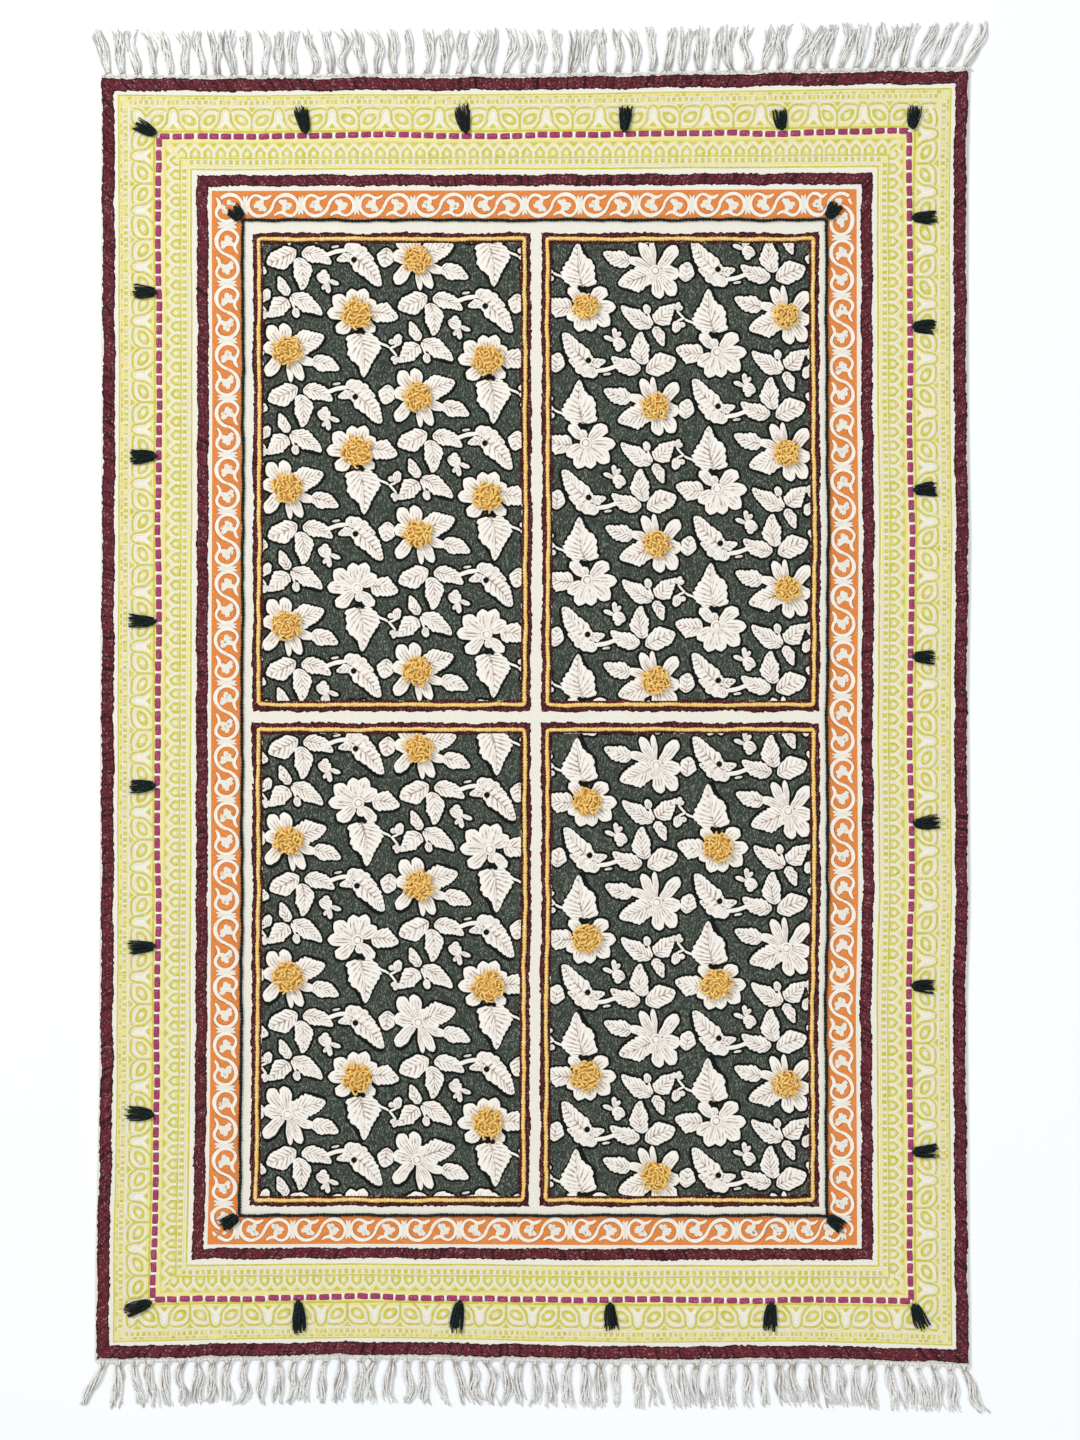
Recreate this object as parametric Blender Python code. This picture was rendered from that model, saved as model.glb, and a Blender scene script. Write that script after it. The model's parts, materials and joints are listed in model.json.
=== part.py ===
"""A cotton dhurrie rug, lying face up and flat, with knotted warp fringes and yarn tassels.

Metres, +Z up, +Y along the rug's length. The origin is on the floor under the middle of the whole
rug, fringes included. Flat coordinates (u, v) are measured from the middle of the woven body, u
across and v along, and rug_point() bends them to the slightly uneven outline of the real cloth.
"""

import math

import bmesh
import bpy
import numpy as np

MM = 0.001

# Driving sizes
BODY_WIDTH = 1.220
BODY_LENGTH = 1.797
CLOTH_THICKNESS = 0.003
SELVEDGE = 0.002            # bare cloth outside the outer maroon band, on all four sides
GAP = 0.0003                # clearance between pieces that touch

# Warp fringe: one comb of bunches at each end
BUNCHES = 55
HEADER_DEPTH = 0.004
BUNCH_LENGTH = 0.062
BUNCH_THICKNESS = 0.0035
BUNCH_STEPS = 3
FIRST_BUNCH = -0.602
LAST_BUNCH = 0.606

# Tassels of dark green yarn
TASSEL_SIDES = 7
TASSEL_LINE = 0.0775        # where the heads of the outer tassels sit, in from the edge

# Couched cords
GREEN_CORD_INSET = 0.1996
GREEN_CORD_DIAMETER = 0.004
YELLOW_CORD_INSET = 0.2225
YELLOW_CORD_DIAMETER = 0.005
YELLOW_CORD_FROM_CENTRE = 0.0158
CORD_CORNER_RADIUS = 0.006
CORD_CORNER_STEPS = 2
CORD_SIDE_STEPS = 4

# How far each edge wanders from the true rectangle: (station along the edge, shift), in mm.
# The left and right edges shift along +u, the near and far edges along +v.
LEFT_EDGE = ((-899, -3.2), (-750, -3.0), (-650, -0.5), (-500, 2.0), (-250, 3.0),
             (0, 3.2), (200, 4.0), (450, 5.2), (700, 4.5), (899, 3.8))
RIGHT_EDGE = ((-899, -1.8), (-750, -4.0), (-600, -5.0), (-400, -7.0), (-250, -3.0),
              (0, -5.0), (250, -2.5), (450, -5.5), (750, -6.0), (899, -3.0))
BOTTOM_EDGE = ((-610, -1.0), (-450, 3.0), (-250, 6.0), (-100, 4.0), (20, 1.0),
               (150, -1.0), (350, 0.5), (480, -1.5), (610, -6.6))
TOP_EDGE = ((-610, -3.5), (-400, -4.5), (-250, -2.5), (-100, -3.0), (50, -1.5),
            (200, 1.0), (350, 3.5), (480, 5.5), (610, 6.6))

# How far the borders and panels sit from their even layout: (even place, shift), in mm
ACROSS_DRIFT = ((-610, 0), (-530, -0.4), (-476, -0.5), (-460, 0), (-453.5, -1.8), (-410.4, -1.3),
                (-387.5, -1.5), (-15.8, 2.7), (15.8, 2.5), (387.5, 6.5), (397, 6.4), (408, 2.3),
                (453.5, 2.0), (460, 1.4), (476, 1.7), (530, 0.4), (610, 0))
ALONG_DRIFT = ((-898.5, 0), (-818.5, 2.4), (-764.5, 4.2), (-748.5, 4.2), (-742, 2.8), (-698.9, 1.3),
               (-686, -0.4), (-676, -0.4), (-15.8, -1.1), (15.8, 1.4), (676, -6.3), (686, -6.2),
               (698.9, -2.7), (742, -3.8), (748.5, -3.9), (764.5, -3.7), (818.5, -2.1), (898.5, 0))
LEAN_FADES = (0.020, 0.220)       # insets between which the lean of the two ends dies away

# How far the tip of a bunch leans along +u from its knot: (station u, lean), in mm
TOP_LEAN = ((-602, -16), (-580, -9), (-530, -17), (-490, -8), (-330, -5), (-220, -6), (-160, 1),
            (-90, 8), (0, 1), (60, 5), (145, -5), (185, 8), (250, 5), (300, 1), (350, 13),
            (390, 18), (440, 10), (500, 17), (560, 28), (606, 25))
BOTTOM_LEAN = ((-602, -24), (-580, -7), (-548, 11), (-500, 3), (-440, -3), (-300, -3), (-200, -6),
               (-125, 13), (-90, 12), (-50, 2), (90, 0), (140, 8), (190, 14), (235, 2), (330, 4),
               (420, 11), (470, 1), (515, 15), (555, 5), (585, 9), (606, 31))

# Half width of a bunch along its length: (fraction of the length, half width in mm)
BUNCH_PROFILE = ((0.00, 4.6), (0.18, 3.6), (0.60, 5.0), (1.00, 5.4))

# Tassels: side, heading of the side's tassels in degrees, then for each tassel its station along
# the side in mm, its swing from that heading in degrees and its length in mm
TASSEL_SIDES_TABLE = (
    ("top", 90, ((-321, 13, 38), (-98, 9, 39), (123, -4, 35), (343, 6, 29))),
    ("bottom", -90, ((-327, 3, 45), (-103, -8, 44), (105, 3, 38), (329, -4, 39))),
    ("left", 180, ((600, -3, 32), (368, 1, 36), (134, -3, 37), (-95, 3, 35), (-319, 5, 37),
                   (-556, -3, 39))),
    ("right", 0, ((701, 2, 34), (552, -2, 32), (320, 3, 31), (84, -3, 30), (-148, 2, 36),
                  (-375, -3, 31), (-608, 2, 36))),
)

# Corner tassels: name, side of the corner in u and v, heading in degrees, length in mm
OUTER_CORNER_TASSELS = (("corner_1", -1, 1, 153, 31), ("corner_2", 1, 1, 84, 31),
                        ("corner_3", -1, -1, 201, 38), ("corner_4", 1, -1, -67, 36))
INNER_CORNER_TASSELS = (("inner_1", -1, 1, 130, 21), ("inner_2", 1, 1, 55, 25),
                        ("inner_3", -1, -1, 214, 26), ("inner_4", 1, -1, -36, 27))

# A lying tassel's shape: fraction of its length, half width in mm, height in mm
TASSEL_PROFILE = ((0.00, 2.6, 5.0), (0.14, 4.6, 8.6), (0.28, 5.0, 8.2), (0.60, 7.8, 9.0),
                  (1.00, 9.4, 6.4))


def wander(table, station):
    """Shift in metres of an edge at a station in metres, read between the rows of its table."""
    stations, shifts = zip(*table)
    return MM * np.interp(station / MM, stations, shifts)


def body_point(u, v):
    """Even place bent to the uneven outline: drift first, then each pair of edges is blended.

    The lean of the two ends is full at the hem and dies away towards the panels.
    """
    across = u / BODY_WIDTH + 0.5
    along = v / BODY_LENGTH + 0.5
    keep = 1.0 - np.interp(BODY_LENGTH / 2 - np.abs(v), LEAN_FADES, (0.0, 1.0))
    x = u + wander(ACROSS_DRIFT, u)
    x = x + (1.0 - across) * wander(LEFT_EDGE, v) + across * wander(RIGHT_EDGE, v)
    ends = (1.0 - along) * wander(BOTTOM_EDGE, u) + along * wander(TOP_EDGE, u)
    return x, v + wander(ALONG_DRIFT, v) + keep * ends


def comb_rows(end):
    """Left and right edge of the header and of each bunch of one fringe, in body coordinates.

    end is +1 at the top and -1 at the bottom. Each bunch is a list of point pairs: at the cloth,
    at the header's outer edge and then along the bunch, which leans and widens to its tip.
    """
    lean_table = TOP_LEAN if end > 0 else BOTTOM_LEAN
    fractions, half_widths = zip(*BUNCH_PROFILE)
    header_start = BODY_LENGTH / 2 + SELVEDGE + GAP
    header_end = header_start + HEADER_DEPTH
    rows = []
    for knot in np.linspace(FIRST_BUNCH, LAST_BUNCH, BUNCHES):
        root = MM * half_widths[0]
        pairs = []
        for depth in (header_start, header_end):
            pairs.append((body_point(knot - root, end * depth), body_point(knot + root, end * depth)))
        lean = wander(lean_table, knot)
        length = BUNCH_LENGTH * (1.0 + 0.03 * math.sin(37.0 * knot))
        for step in range(1, BUNCH_STEPS + 1):
            t = step / BUNCH_STEPS
            half = MM * np.interp(t, fractions, half_widths)
            centre = knot + lean * t ** 1.4
            depth = end * (header_end + length * t)
            y = body_point(knot, depth)[1]
            x = body_point(knot, end * header_end)[0] + centre - knot
            pairs.append(((x - half, y), (x + half, y)))
        rows.append(pairs)
    return rows


def box_middle():
    """Middle of the whole rug's box in body coordinates: the fringes reach furthest both ways."""
    points = [point for end in (1, -1) for pairs in comb_rows(end) for pair in pairs for point in pair]
    x, y = np.array(points).T
    return (x.min() + x.max()) / 2, (y.min() + y.max()) / 2


MIDDLE_X, MIDDLE_Y = box_middle()


def placed(point):
    """A point of the body moved so that the whole rug's middle is over the origin."""
    return point[0] - MIDDLE_X, point[1] - MIDDLE_Y


def rug_point(u, v):
    """Flat coordinates to world x and y."""
    return placed(body_point(u, v))


def material(name, colour, roughness):
    """A plain cloth or yarn finish."""
    made = bpy.data.materials.new(name)
    made.use_nodes = True
    shader = made.node_tree.nodes["Principled BSDF"]
    shader.inputs["Base Color"].default_value = (*colour, 1.0)
    shader.inputs["Roughness"].default_value = roughness
    shader.inputs["Metallic"].default_value = 0.0
    made.diffuse_color = (*colour, 1.0)
    return made


def add_object(name, data, finish):
    """Link a mesh or curve to the scene under its node name, with its finish."""
    data.materials.append(finish)
    thing = bpy.data.objects.new(name, data)
    bpy.context.collection.objects.link(thing)
    return thing


def thicken(name, bm, thickness, finish):
    """Close a flat bmesh that lies on the floor by extruding it upwards."""
    bmesh.ops.recalc_face_normals(bm, faces=bm.faces)
    upper = bmesh.ops.extrude_face_region(bm, geom=bm.faces[:])
    raised = [item for item in upper["geom"] if isinstance(item, bmesh.types.BMVert)]
    bmesh.ops.translate(bm, vec=(0.0, 0.0, thickness), verts=raised)
    bmesh.ops.recalc_face_normals(bm, faces=bm.faces)
    mesh = bpy.data.meshes.new(name)
    bm.to_mesh(mesh)
    bm.free()
    return add_object(name, mesh, finish)


def make_cloth(finish):
    """The woven body: one flat sheet whose outline turns a little at each row of the edge tables."""
    half_u = BODY_WIDTH / 2 + SELVEDGE
    half_v = BODY_LENGTH / 2 + SELVEDGE
    bottom = [(MM * station, -half_v) for station, shift in BOTTOM_EDGE[1:-1]]
    right = [(half_u, MM * station) for station, shift in RIGHT_EDGE[1:-1]]
    top = [(MM * station, half_v) for station, shift in TOP_EDGE[-2:0:-1]]
    left = [(-half_u, MM * station) for station, shift in LEFT_EDGE[-2:0:-1]]
    outline = [(-half_u, -half_v), *bottom, (half_u, -half_v), *right,
               (half_u, half_v), *top, (-half_u, half_v), *left]
    bm = bmesh.new()
    bm.faces.new([bm.verts.new((*rug_point(u, v), 0.0)) for u, v in outline])
    return thicken("rug_cloth", bm, CLOTH_THICKNESS, finish)


def make_fringe(name, end, finish):
    """One fringe: a narrow header of knotted warps that joins all the bunches into a comb."""
    bm = bmesh.new()
    header = []
    for pairs in comb_rows(end):
        columns = [[bm.verts.new((*placed(point), 0.0)) for point in pair] for pair in pairs]
        for (near_left, near_right), (far_left, far_right) in zip(columns, columns[1:]):
            bm.faces.new((near_left, near_right, far_right, far_left))
        header.append((columns[0], columns[1]))
    for (near, far), (next_near, next_far) in zip(header, header[1:]):
        bm.faces.new((near[1], next_near[0], next_far[0], far[1]))
    return thicken(name, bm, BUNCH_THICKNESS, finish)


def make_tassel(name, head, heading, length, finish):
    """A tassel lying on the cloth: rounded rings widen from the bound head to the cut skirt."""
    bm = bmesh.new()
    rings = []
    for fraction, half_width, height in TASSEL_PROFILE:
        ring = []
        for side in range(TASSEL_SIDES):
            turn = 2.0 * math.pi * side / TASSEL_SIDES - math.pi / 2
            across = MM * half_width * math.cos(turn)
            up = MM * height * (0.5 + 0.5 * math.sin(turn))
            ring.append(bm.verts.new((fraction * length, across, up)))
        rings.append(ring)
    for ring, following in zip(rings, rings[1:]):
        for side in range(TASSEL_SIDES):
            after = (side + 1) % TASSEL_SIDES
            bm.faces.new((ring[side], ring[after], following[after], following[side]))
    bm.faces.new(rings[0])
    bm.faces.new(rings[-1])
    bmesh.ops.recalc_face_normals(bm, faces=bm.faces)
    mesh = bpy.data.meshes.new(name)
    bm.to_mesh(mesh)
    bm.free()
    tassel = add_object(name, mesh, finish)
    tassel.location = (*rug_point(*head), CLOTH_THICKNESS + GAP)
    tassel.rotation_euler = (0.0, 0.0, math.radians(heading))
    return tassel


def make_tassels(finish):
    """Tassels along the four sides of the running stitch, at its corners and at the cord's."""
    line_u = BODY_WIDTH / 2 - TASSEL_LINE
    line_v = BODY_LENGTH / 2 - TASSEL_LINE
    side_lines = {"top": (None, line_v), "bottom": (None, -line_v),
                  "left": (-line_u, None), "right": (line_u, None)}
    for side, heading, tassels in TASSEL_SIDES_TABLE:
        fixed_u, fixed_v = side_lines[side]
        for number, (station, swing, length) in enumerate(tassels, start=1):
            head = (MM * station, fixed_v) if fixed_u is None else (fixed_u, MM * station)
            make_tassel(f"tassel_{side}_{number}", head, heading + swing, MM * length, finish)
    for name, side_u, side_v, heading, length in OUTER_CORNER_TASSELS:
        head = (side_u * line_u, side_v * line_v)
        make_tassel(f"tassel_{name}", head, heading, MM * length, finish)
    clear = GREEN_CORD_DIAMETER / 2 - 1 * MM
    cord_u = BODY_WIDTH / 2 - GREEN_CORD_INSET + clear
    cord_v = BODY_LENGTH / 2 - GREEN_CORD_INSET + clear
    for name, side_u, side_v, heading, length in INNER_CORNER_TASSELS:
        head = (side_u * cord_u, side_v * cord_v)
        make_tassel(f"tassel_{name}", head, heading, MM * length, finish)


def ring_route(left, right, bottom, top):
    """Points of a rectangle with small round corners, in flat coordinates."""
    radius = CORD_CORNER_RADIUS
    corners = ((right - radius, top - radius, 0), (left + radius, top - radius, 90),
               (left + radius, bottom + radius, 180), (right - radius, bottom + radius, 270))
    arcs = []
    for u, v, start in corners:
        angles = np.radians(start + 90 * np.arange(CORD_CORNER_STEPS + 1) / CORD_CORNER_STEPS)
        arcs.append([(u + radius * math.cos(a), v + radius * math.sin(a)) for a in angles])
    route = []
    for arc, following in zip(arcs, arcs[1:] + arcs[:1]):
        route.extend(arc)
        (u0, v0), (u1, v1) = arc[-1], following[0]
        for t in np.arange(1, CORD_SIDE_STEPS) / CORD_SIDE_STEPS:
            route.append((u0 + (u1 - u0) * t, v0 + (v1 - v0) * t))
    return route


def make_cord(name, left, right, bottom, top, diameter, finish):
    """A closed ring of round cord laid flat on the cloth."""
    curve = bpy.data.curves.new(name, "CURVE")
    curve.dimensions = "3D"
    curve.bevel_depth = diameter / 2
    curve.bevel_resolution = 2
    route = ring_route(left, right, bottom, top)
    spline = curve.splines.new("POLY")
    spline.points.add(len(route) - 1)
    height = CLOTH_THICKNESS + GAP + diameter / 2
    for point, (u, v) in zip(spline.points, route):
        point.co = (*rug_point(u, v), height, 1.0)
    spline.use_cyclic_u = True
    return add_object(name, curve, finish)


def make_cords(green, yellow):
    """The green cord round the cross, and a yellow cord round each of the four panels."""
    cord_u = BODY_WIDTH / 2 - GREEN_CORD_INSET
    cord_v = BODY_LENGTH / 2 - GREEN_CORD_INSET
    make_cord("green_cord", -cord_u, cord_u, -cord_v, cord_v, GREEN_CORD_DIAMETER, green)
    near = YELLOW_CORD_FROM_CENTRE
    far_u = BODY_WIDTH / 2 - YELLOW_CORD_INSET
    far_v = BODY_LENGTH / 2 - YELLOW_CORD_INSET
    panels = ((-far_u, -near, near, far_v), (near, far_u, near, far_v),
              (-far_u, -near, -far_v, -near), (near, far_u, -far_v, -near))
    for number, (left, right, bottom, top) in enumerate(panels, start=1):
        make_cord(f"yellow_cord_{number}", left, right, bottom, top, YELLOW_CORD_DIAMETER, yellow)


def main():
    for thing in list(bpy.data.objects):
        bpy.data.objects.remove(thing)
    cream = material("cream_cotton_cloth", (0.89, 0.84, 0.75), 0.9)
    warp = material("undyed_warp_yarn", (0.68, 0.63, 0.58), 0.9)
    green = material("dark_green_yarn", (0.012, 0.035, 0.032), 0.85)
    yellow = material("yellow_cord_yarn", (0.95, 0.62, 0.16), 0.8)
    make_cloth(cream)
    make_fringe("fringe_top", 1, warp)
    make_fringe("fringe_bottom", -1, warp)
    make_tassels(green)
    make_cords(green, yellow)


main()
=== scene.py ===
"""Looks of a cotton dhurrie rug: printed borders, embroidered panels, tufts, cords, tassels, fringes.

Flat coordinates (u, v) are millimetres from the middle of the woven body, u across the rug and v
along it. lay() bends them to the uneven outline of the cloth and turns them into world metres.
"""

import json
import math

import bmesh
import bpy
import numpy as np
from bpy.props import FloatProperty, FloatVectorProperty, IntProperty, PointerProperty
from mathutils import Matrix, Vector

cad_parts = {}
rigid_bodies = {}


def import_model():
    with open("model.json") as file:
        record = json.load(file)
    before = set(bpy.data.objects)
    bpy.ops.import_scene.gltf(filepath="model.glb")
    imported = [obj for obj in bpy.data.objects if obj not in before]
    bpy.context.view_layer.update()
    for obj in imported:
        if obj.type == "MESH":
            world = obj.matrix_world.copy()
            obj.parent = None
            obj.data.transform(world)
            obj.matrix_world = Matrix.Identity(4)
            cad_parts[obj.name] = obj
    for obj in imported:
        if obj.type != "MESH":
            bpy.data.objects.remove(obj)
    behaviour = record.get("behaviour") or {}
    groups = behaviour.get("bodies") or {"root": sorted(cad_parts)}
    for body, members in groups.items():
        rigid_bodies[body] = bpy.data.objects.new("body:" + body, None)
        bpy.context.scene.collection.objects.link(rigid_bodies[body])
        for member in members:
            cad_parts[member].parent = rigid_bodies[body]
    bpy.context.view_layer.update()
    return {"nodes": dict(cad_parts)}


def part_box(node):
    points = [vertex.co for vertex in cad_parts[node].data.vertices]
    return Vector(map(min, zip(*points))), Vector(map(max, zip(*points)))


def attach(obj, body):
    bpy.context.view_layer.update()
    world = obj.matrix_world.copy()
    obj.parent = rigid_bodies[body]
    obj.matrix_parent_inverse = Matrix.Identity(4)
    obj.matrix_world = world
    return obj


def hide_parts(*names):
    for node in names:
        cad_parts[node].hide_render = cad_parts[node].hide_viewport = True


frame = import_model()

bl_info = {
    "name": "Dhurrie rug",
    "version": (1, 0, 0),
    "blender": (4, 5, 0),
    "location": "3D View > Sidebar > Rug",
    "description": "Makes a flat-woven cotton rug with print, embroidery, tufts, cords and fringes",
    "category": "Add Mesh",
}

MM = 0.001
WELD = 0.000002         # metres: points of a pole that lie closer than this become one
BLACK = (0.0, 0.0, 0.0)
ANY_PHASE = 6.3         # radians: the upper limit of a phase that is drawn at random

# Layout, in mm. Insets are measured inwards from the outer maroon edge.
HALF_U = 610.0
HALF_V = 898.5
SELVEDGE = 2.0
OUTER_BAND = (0.1, 17.8)
YELLOW_ZONE = (22.5, 130.0)
RUNNING_STITCH = 80.0
INNER_BAND = (134.0, 150.0)
ORANGE_ZONE = (156.5, 198.0)
GREEN_CORD = 199.6
PANEL_INSET = 214.5
CROSS_HALF = 7.7
PANEL_LINE = (-0.6, 15.2)   # maroon strip, inwards from the panel's edge
PANEL_CORD = 8.3
FIELD_INSET = 14.0

# How far each edge wanders from the true rectangle: (station along the edge, shift), in mm
LEFT_EDGE = ((-899, -3.2), (-750, -3.0), (-650, -0.5), (-500, 2.0), (-250, 3.0),
             (0, 3.2), (200, 4.0), (450, 5.2), (700, 4.5), (899, 3.8))
RIGHT_EDGE = ((-899, -1.8), (-750, -4.0), (-600, -5.0), (-400, -7.0), (-250, -3.0),
              (0, -5.0), (250, -2.5), (450, -5.5), (750, -6.0), (899, -3.0))
BOTTOM_EDGE = ((-610, -1.0), (-450, 3.0), (-250, 6.0), (-100, 4.0), (20, 1.0),
               (150, -1.0), (350, 0.5), (480, -1.5), (610, -6.6))
TOP_EDGE = ((-610, -3.5), (-400, -4.5), (-250, -2.5), (-100, -3.0), (50, -1.5),
            (200, 1.0), (350, 3.5), (480, 5.5), (610, 6.6))

# How far the borders and panels sit from their drawn place: (drawn place, shift), in mm
ACROSS_DRIFT = ((-610, 0), (-530, -0.4), (-476, -0.5), (-460, 0), (-453.5, -1.8), (-410.4, -1.3),
                (-387.5, -1.5), (-15.8, 2.7), (15.8, 2.5), (387.5, 6.5), (397, 6.4), (408, 2.3),
                (453.5, 2.0), (460, 1.4), (476, 1.7), (530, 0.4), (610, 0))
ALONG_DRIFT = ((-898.5, 0), (-818.5, 2.4), (-764.5, 4.2), (-748.5, 4.2), (-742, 2.8), (-698.9, 1.3),
               (-686, -0.4), (-676, -0.4), (-15.8, -1.1), (15.8, 1.4), (676, -6.3), (686, -6.2),
               (698.9, -2.7), (742, -3.8), (748.5, -3.9), (764.5, -3.7), (818.5, -2.1), (898.5, 0))
LEAN_FADES = (20.0, 220.0)      # insets between which the lean of the two ends dies away

# Fringe: how far the tip of a bunch leans along +u from its knot: (station u, lean), in mm
BUNCHES = 55
FIRST_BUNCH = -602.0
LAST_BUNCH = 606.0
TOP_LEAN = ((-602, -16), (-580, -9), (-530, -17), (-490, -8), (-330, -5), (-220, -6), (-160, 1),
            (-90, 8), (0, 1), (60, 5), (145, -5), (185, 8), (250, 5), (300, 1), (350, 13),
            (390, 18), (440, 10), (500, 17), (560, 28), (606, 25))
BOTTOM_LEAN = ((-602, -24), (-580, -7), (-548, 11), (-500, 3), (-440, -3), (-300, -3), (-200, -6),
               (-125, 13), (-90, 12), (-50, 2), (90, 0), (140, 8), (190, 14), (235, 2), (330, 4),
               (420, 11), (470, 1), (515, 15), (555, 5), (585, 9), (606, 31))
BUNCH_LENGTH = 62.0
HEADER_DEPTH = 4.0
HEADER_CORDS = (0.6, 2.3)       # the two cords twined along the hem, out from it

# Printed repeats keep their own pitch on every side, and the place of one repeat's middle is given
# in mm clockwise from the middle of that side: top, right, bottom, left. Each is drawn at one pitch
# and stretched to that of its side
LATTICE_DRAWN = 75.0
LATTICE_PERIOD = (74.7, 77.0, 73.2, 76.9)
LATTICE_START = (50.9, -160.2, -33.6, 60.1)
LATTICE_BASE = 74.2
ARCH_DRAWN = 18.75
ARCH_PERIOD = (18.6, 19.3, 18.2, 19.3)
ARCH_START = (61.2, -151.6, -26.6, 70.0)
ARCH_BASE = 109.8
SCROLL_DRAWN = 79.0
SCROLL_PERIOD = (78.1, 81.2, 77.0, 80.8)
SCROLL_START = (22.8, -150.0, -11.2, 87.5)
SCROLL_MIDDLE = 177.9

# One eye of the lattice, beside the stem between two eyes. Each row is the layer, whether it
# closes, then points as (along, out from the base line, stroke width)
LATTICE = (
    ("ink", False, ((0, 0.8, 2.9), (0, 22.4, 2.5))),
    ("ink", False, ((0, 20.6, 2.5), (2.2, 24.6, 2.5), (6.0, 28.8, 2.4), (10.0, 31.2, 2.4),
                    (18.0, 31.8, 2.4), (25.0, 31.4, 2.3), (28.8, 29.2, 2.0))),
    ("ink", False, ((17.4, 0.5, 2.6), (25.4, 8.4, 2.5), (29.0, 13.8, 2.5), (29.6, 21.0, 2.4),
                    (30.6, 27.8, 2.2), (33.6, 32.2, 2.2), (37.5, 33.4, 2.2))),
    ("ink", True, ((6.8, 10.7, 2.8), (6.6, 16.0, 2.6), (10.5, 20.4, 2.6), (15.3, 22.8, 2.6),
                   (23.4, 23.2, 2.8), (22.0, 16.0, 2.6), (18.0, 11.5, 2.6), (12.4, 9.7, 2.6))),
    ("faded", False, ((9.2, 11.8, 4.0), (14.2, 16.4, 8.0), (20.2, 21.0, 4.0))),
    ("bare", False, ((11.6, 14.4, 4.2), (14.2, 16.4, 6.2), (17.0, 18.6, 4.2))),
    ("bare", False, ((2.8, 8.0, 1.8), (2.9, 19.0, 2.0), (5.6, 24.6, 2.0), (10.4, 27.9, 2.0),
                     (18.0, 28.6, 2.0), (25.4, 28.0, 2.0), (26.4, 22.0, 2.0), (25.6, 14.0, 1.8))),
    ("bare", False, ((3.4, 30.4, 1.4), (8.0, 33.8, 1.6), (18.0, 34.6, 1.6), (27.0, 34.4, 1.6),
                     (30.0, 33.4, 1.4))),
    ("bare", False, ((32.2, 14.0, 1.6), (32.5, 21.0, 2.0), (33.4, 27.0, 2.0), (37.5, 30.6, 2.0))),
    ("ink", False, ((37.5, 4.6, 8.8), (37.5, 10.4, 0.8))),
    ("ink", False, ((0, 34.2, 8.4), (0, 28.6, 0.8))),
    ("ink", False, ((0, 38.2, 3.8), (0, 43.6, 3.8))),
    ("ink", False, ((8.6, 38.6, 3.2), (8.6, 43.2, 4.2))),
    ("ink", False, ((16.2, 38.6, 2.8), (16.2, 43.2, 2.8))),
    ("faded", False, ((21.0, 41.0, 4.4), (24.6, 41.0, 4.4))),
    ("ink", False, ((31.5, 38.4, 2.8), (31.5, 43.4, 2.8))),
    ("faded", False, ((34.9, 41.0, 4.4), (37.5, 41.0, 4.4))),
    ("bare", False, ((4.3, 37.8, 2.2), (4.3, 44.0, 2.2))),
    ("bare", False, ((12.6, 37.8, 2.0), (12.6, 44.0, 2.0))),
    ("bare", False, ((19.0, 37.8, 1.6), (19.0, 44.0, 1.6))),
    ("bare", False, ((28.2, 37.8, 2.2), (28.2, 44.0, 2.2))),
    ("ink", False, ((1.6, 46.6, 2.8), (7.4, 46.6, 2.8))),
    ("faded", False, ((11.4, 46.6, 2.8), (18.0, 46.6, 2.8))),
    ("ink", False, ((21.6, 46.6, 2.6), (27.0, 46.6, 2.8))),
    ("faded", False, ((30.6, 46.6, 2.8), (36.0, 46.6, 2.8))),
)

# One arch of the inner print on its base line
ARCH = (
    ("bare", False, ((9.375, -0.6, 3.2), (9.375, 8.2, 3.0))),
    ("bare", False, ((9.375, 7.4, 3.0), (5.2, 12.2, 2.8), (0.0, 16.9, 2.8))),
    ("bare", False, ((-9.375, 7.4, 3.0), (-5.2, 12.2, 2.8), (0.0, 16.9, 2.8))),
    ("faded", False, ((0, 0.0, 11.0), (0, 7.6, 11.6), (0, 12.6, 2.0))),
    ("ink", False, ((-5.3, 0.5, 2.6), (-5.7, 7.0, 2.5), (-3.0, 10.4, 2.6), (0, 13.0, 2.6),
                    (3.0, 10.4, 2.6), (5.7, 7.0, 2.5), (5.3, 0.5, 2.6))),
    ("bare", False, ((-2.4, 5.4, 3.6), (0, 5.4, 5.4), (2.4, 5.4, 3.6))),
    ("ink", False, ((9.375, 19.4, 10.0), (9.375, 14.4, 1.0))),
    ("ink", False, ((4.69, -3.2, 3.4), (4.69, -9.4, 4.4))),
    ("ink", False, ((-4.69, -3.2, 3.4), (-4.69, -9.4, 4.4))),
    ("bare", False, ((0, -2.8, 2.8), (0, -10.0, 2.8))),
    ("bare", False, ((9.375, -2.8, 2.8), (9.375, -10.0, 2.8))),
)

# Printed lines that run all round: inset, width and layer
PRINTED_LINES = ((23.8, 1.7, "ink"), (29.6, 1.1, "bare"), (38.0, 1.6, "bare"), (73.9, 3.0, "ink"),
                 (89.4, 1.6, "faded"), (110.8, 2.0, "ink"), (112.7, 1.1, "bare"), (120.9, 1.4, "bare"),
                 (126.0, 2.4, "ink"))
LINE_STEP = 9.0         # mm between the stations of a printed line
TINTED = ((22.9, 46.5), (68.0, 79.0), (83.0, 123.6))    # insets where the printed ground is yellow

# Layers of print: number of the finish, and height above the cloth in mm, so that none lies in another
LAYERS = {"wash": (0, 0.04), "faded": (1, 0.12), "ink": (2, 0.20), "bare": (3, 0.28)}
STROKE_STEP = 0.0015    # how much higher each row of a table lies than the one before it
LIME_HALO = 2.6         # how much wider the pale wash under a lattice stroke is, in mm
ARCH_HALO = 2.2         # the same for the arches

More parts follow.
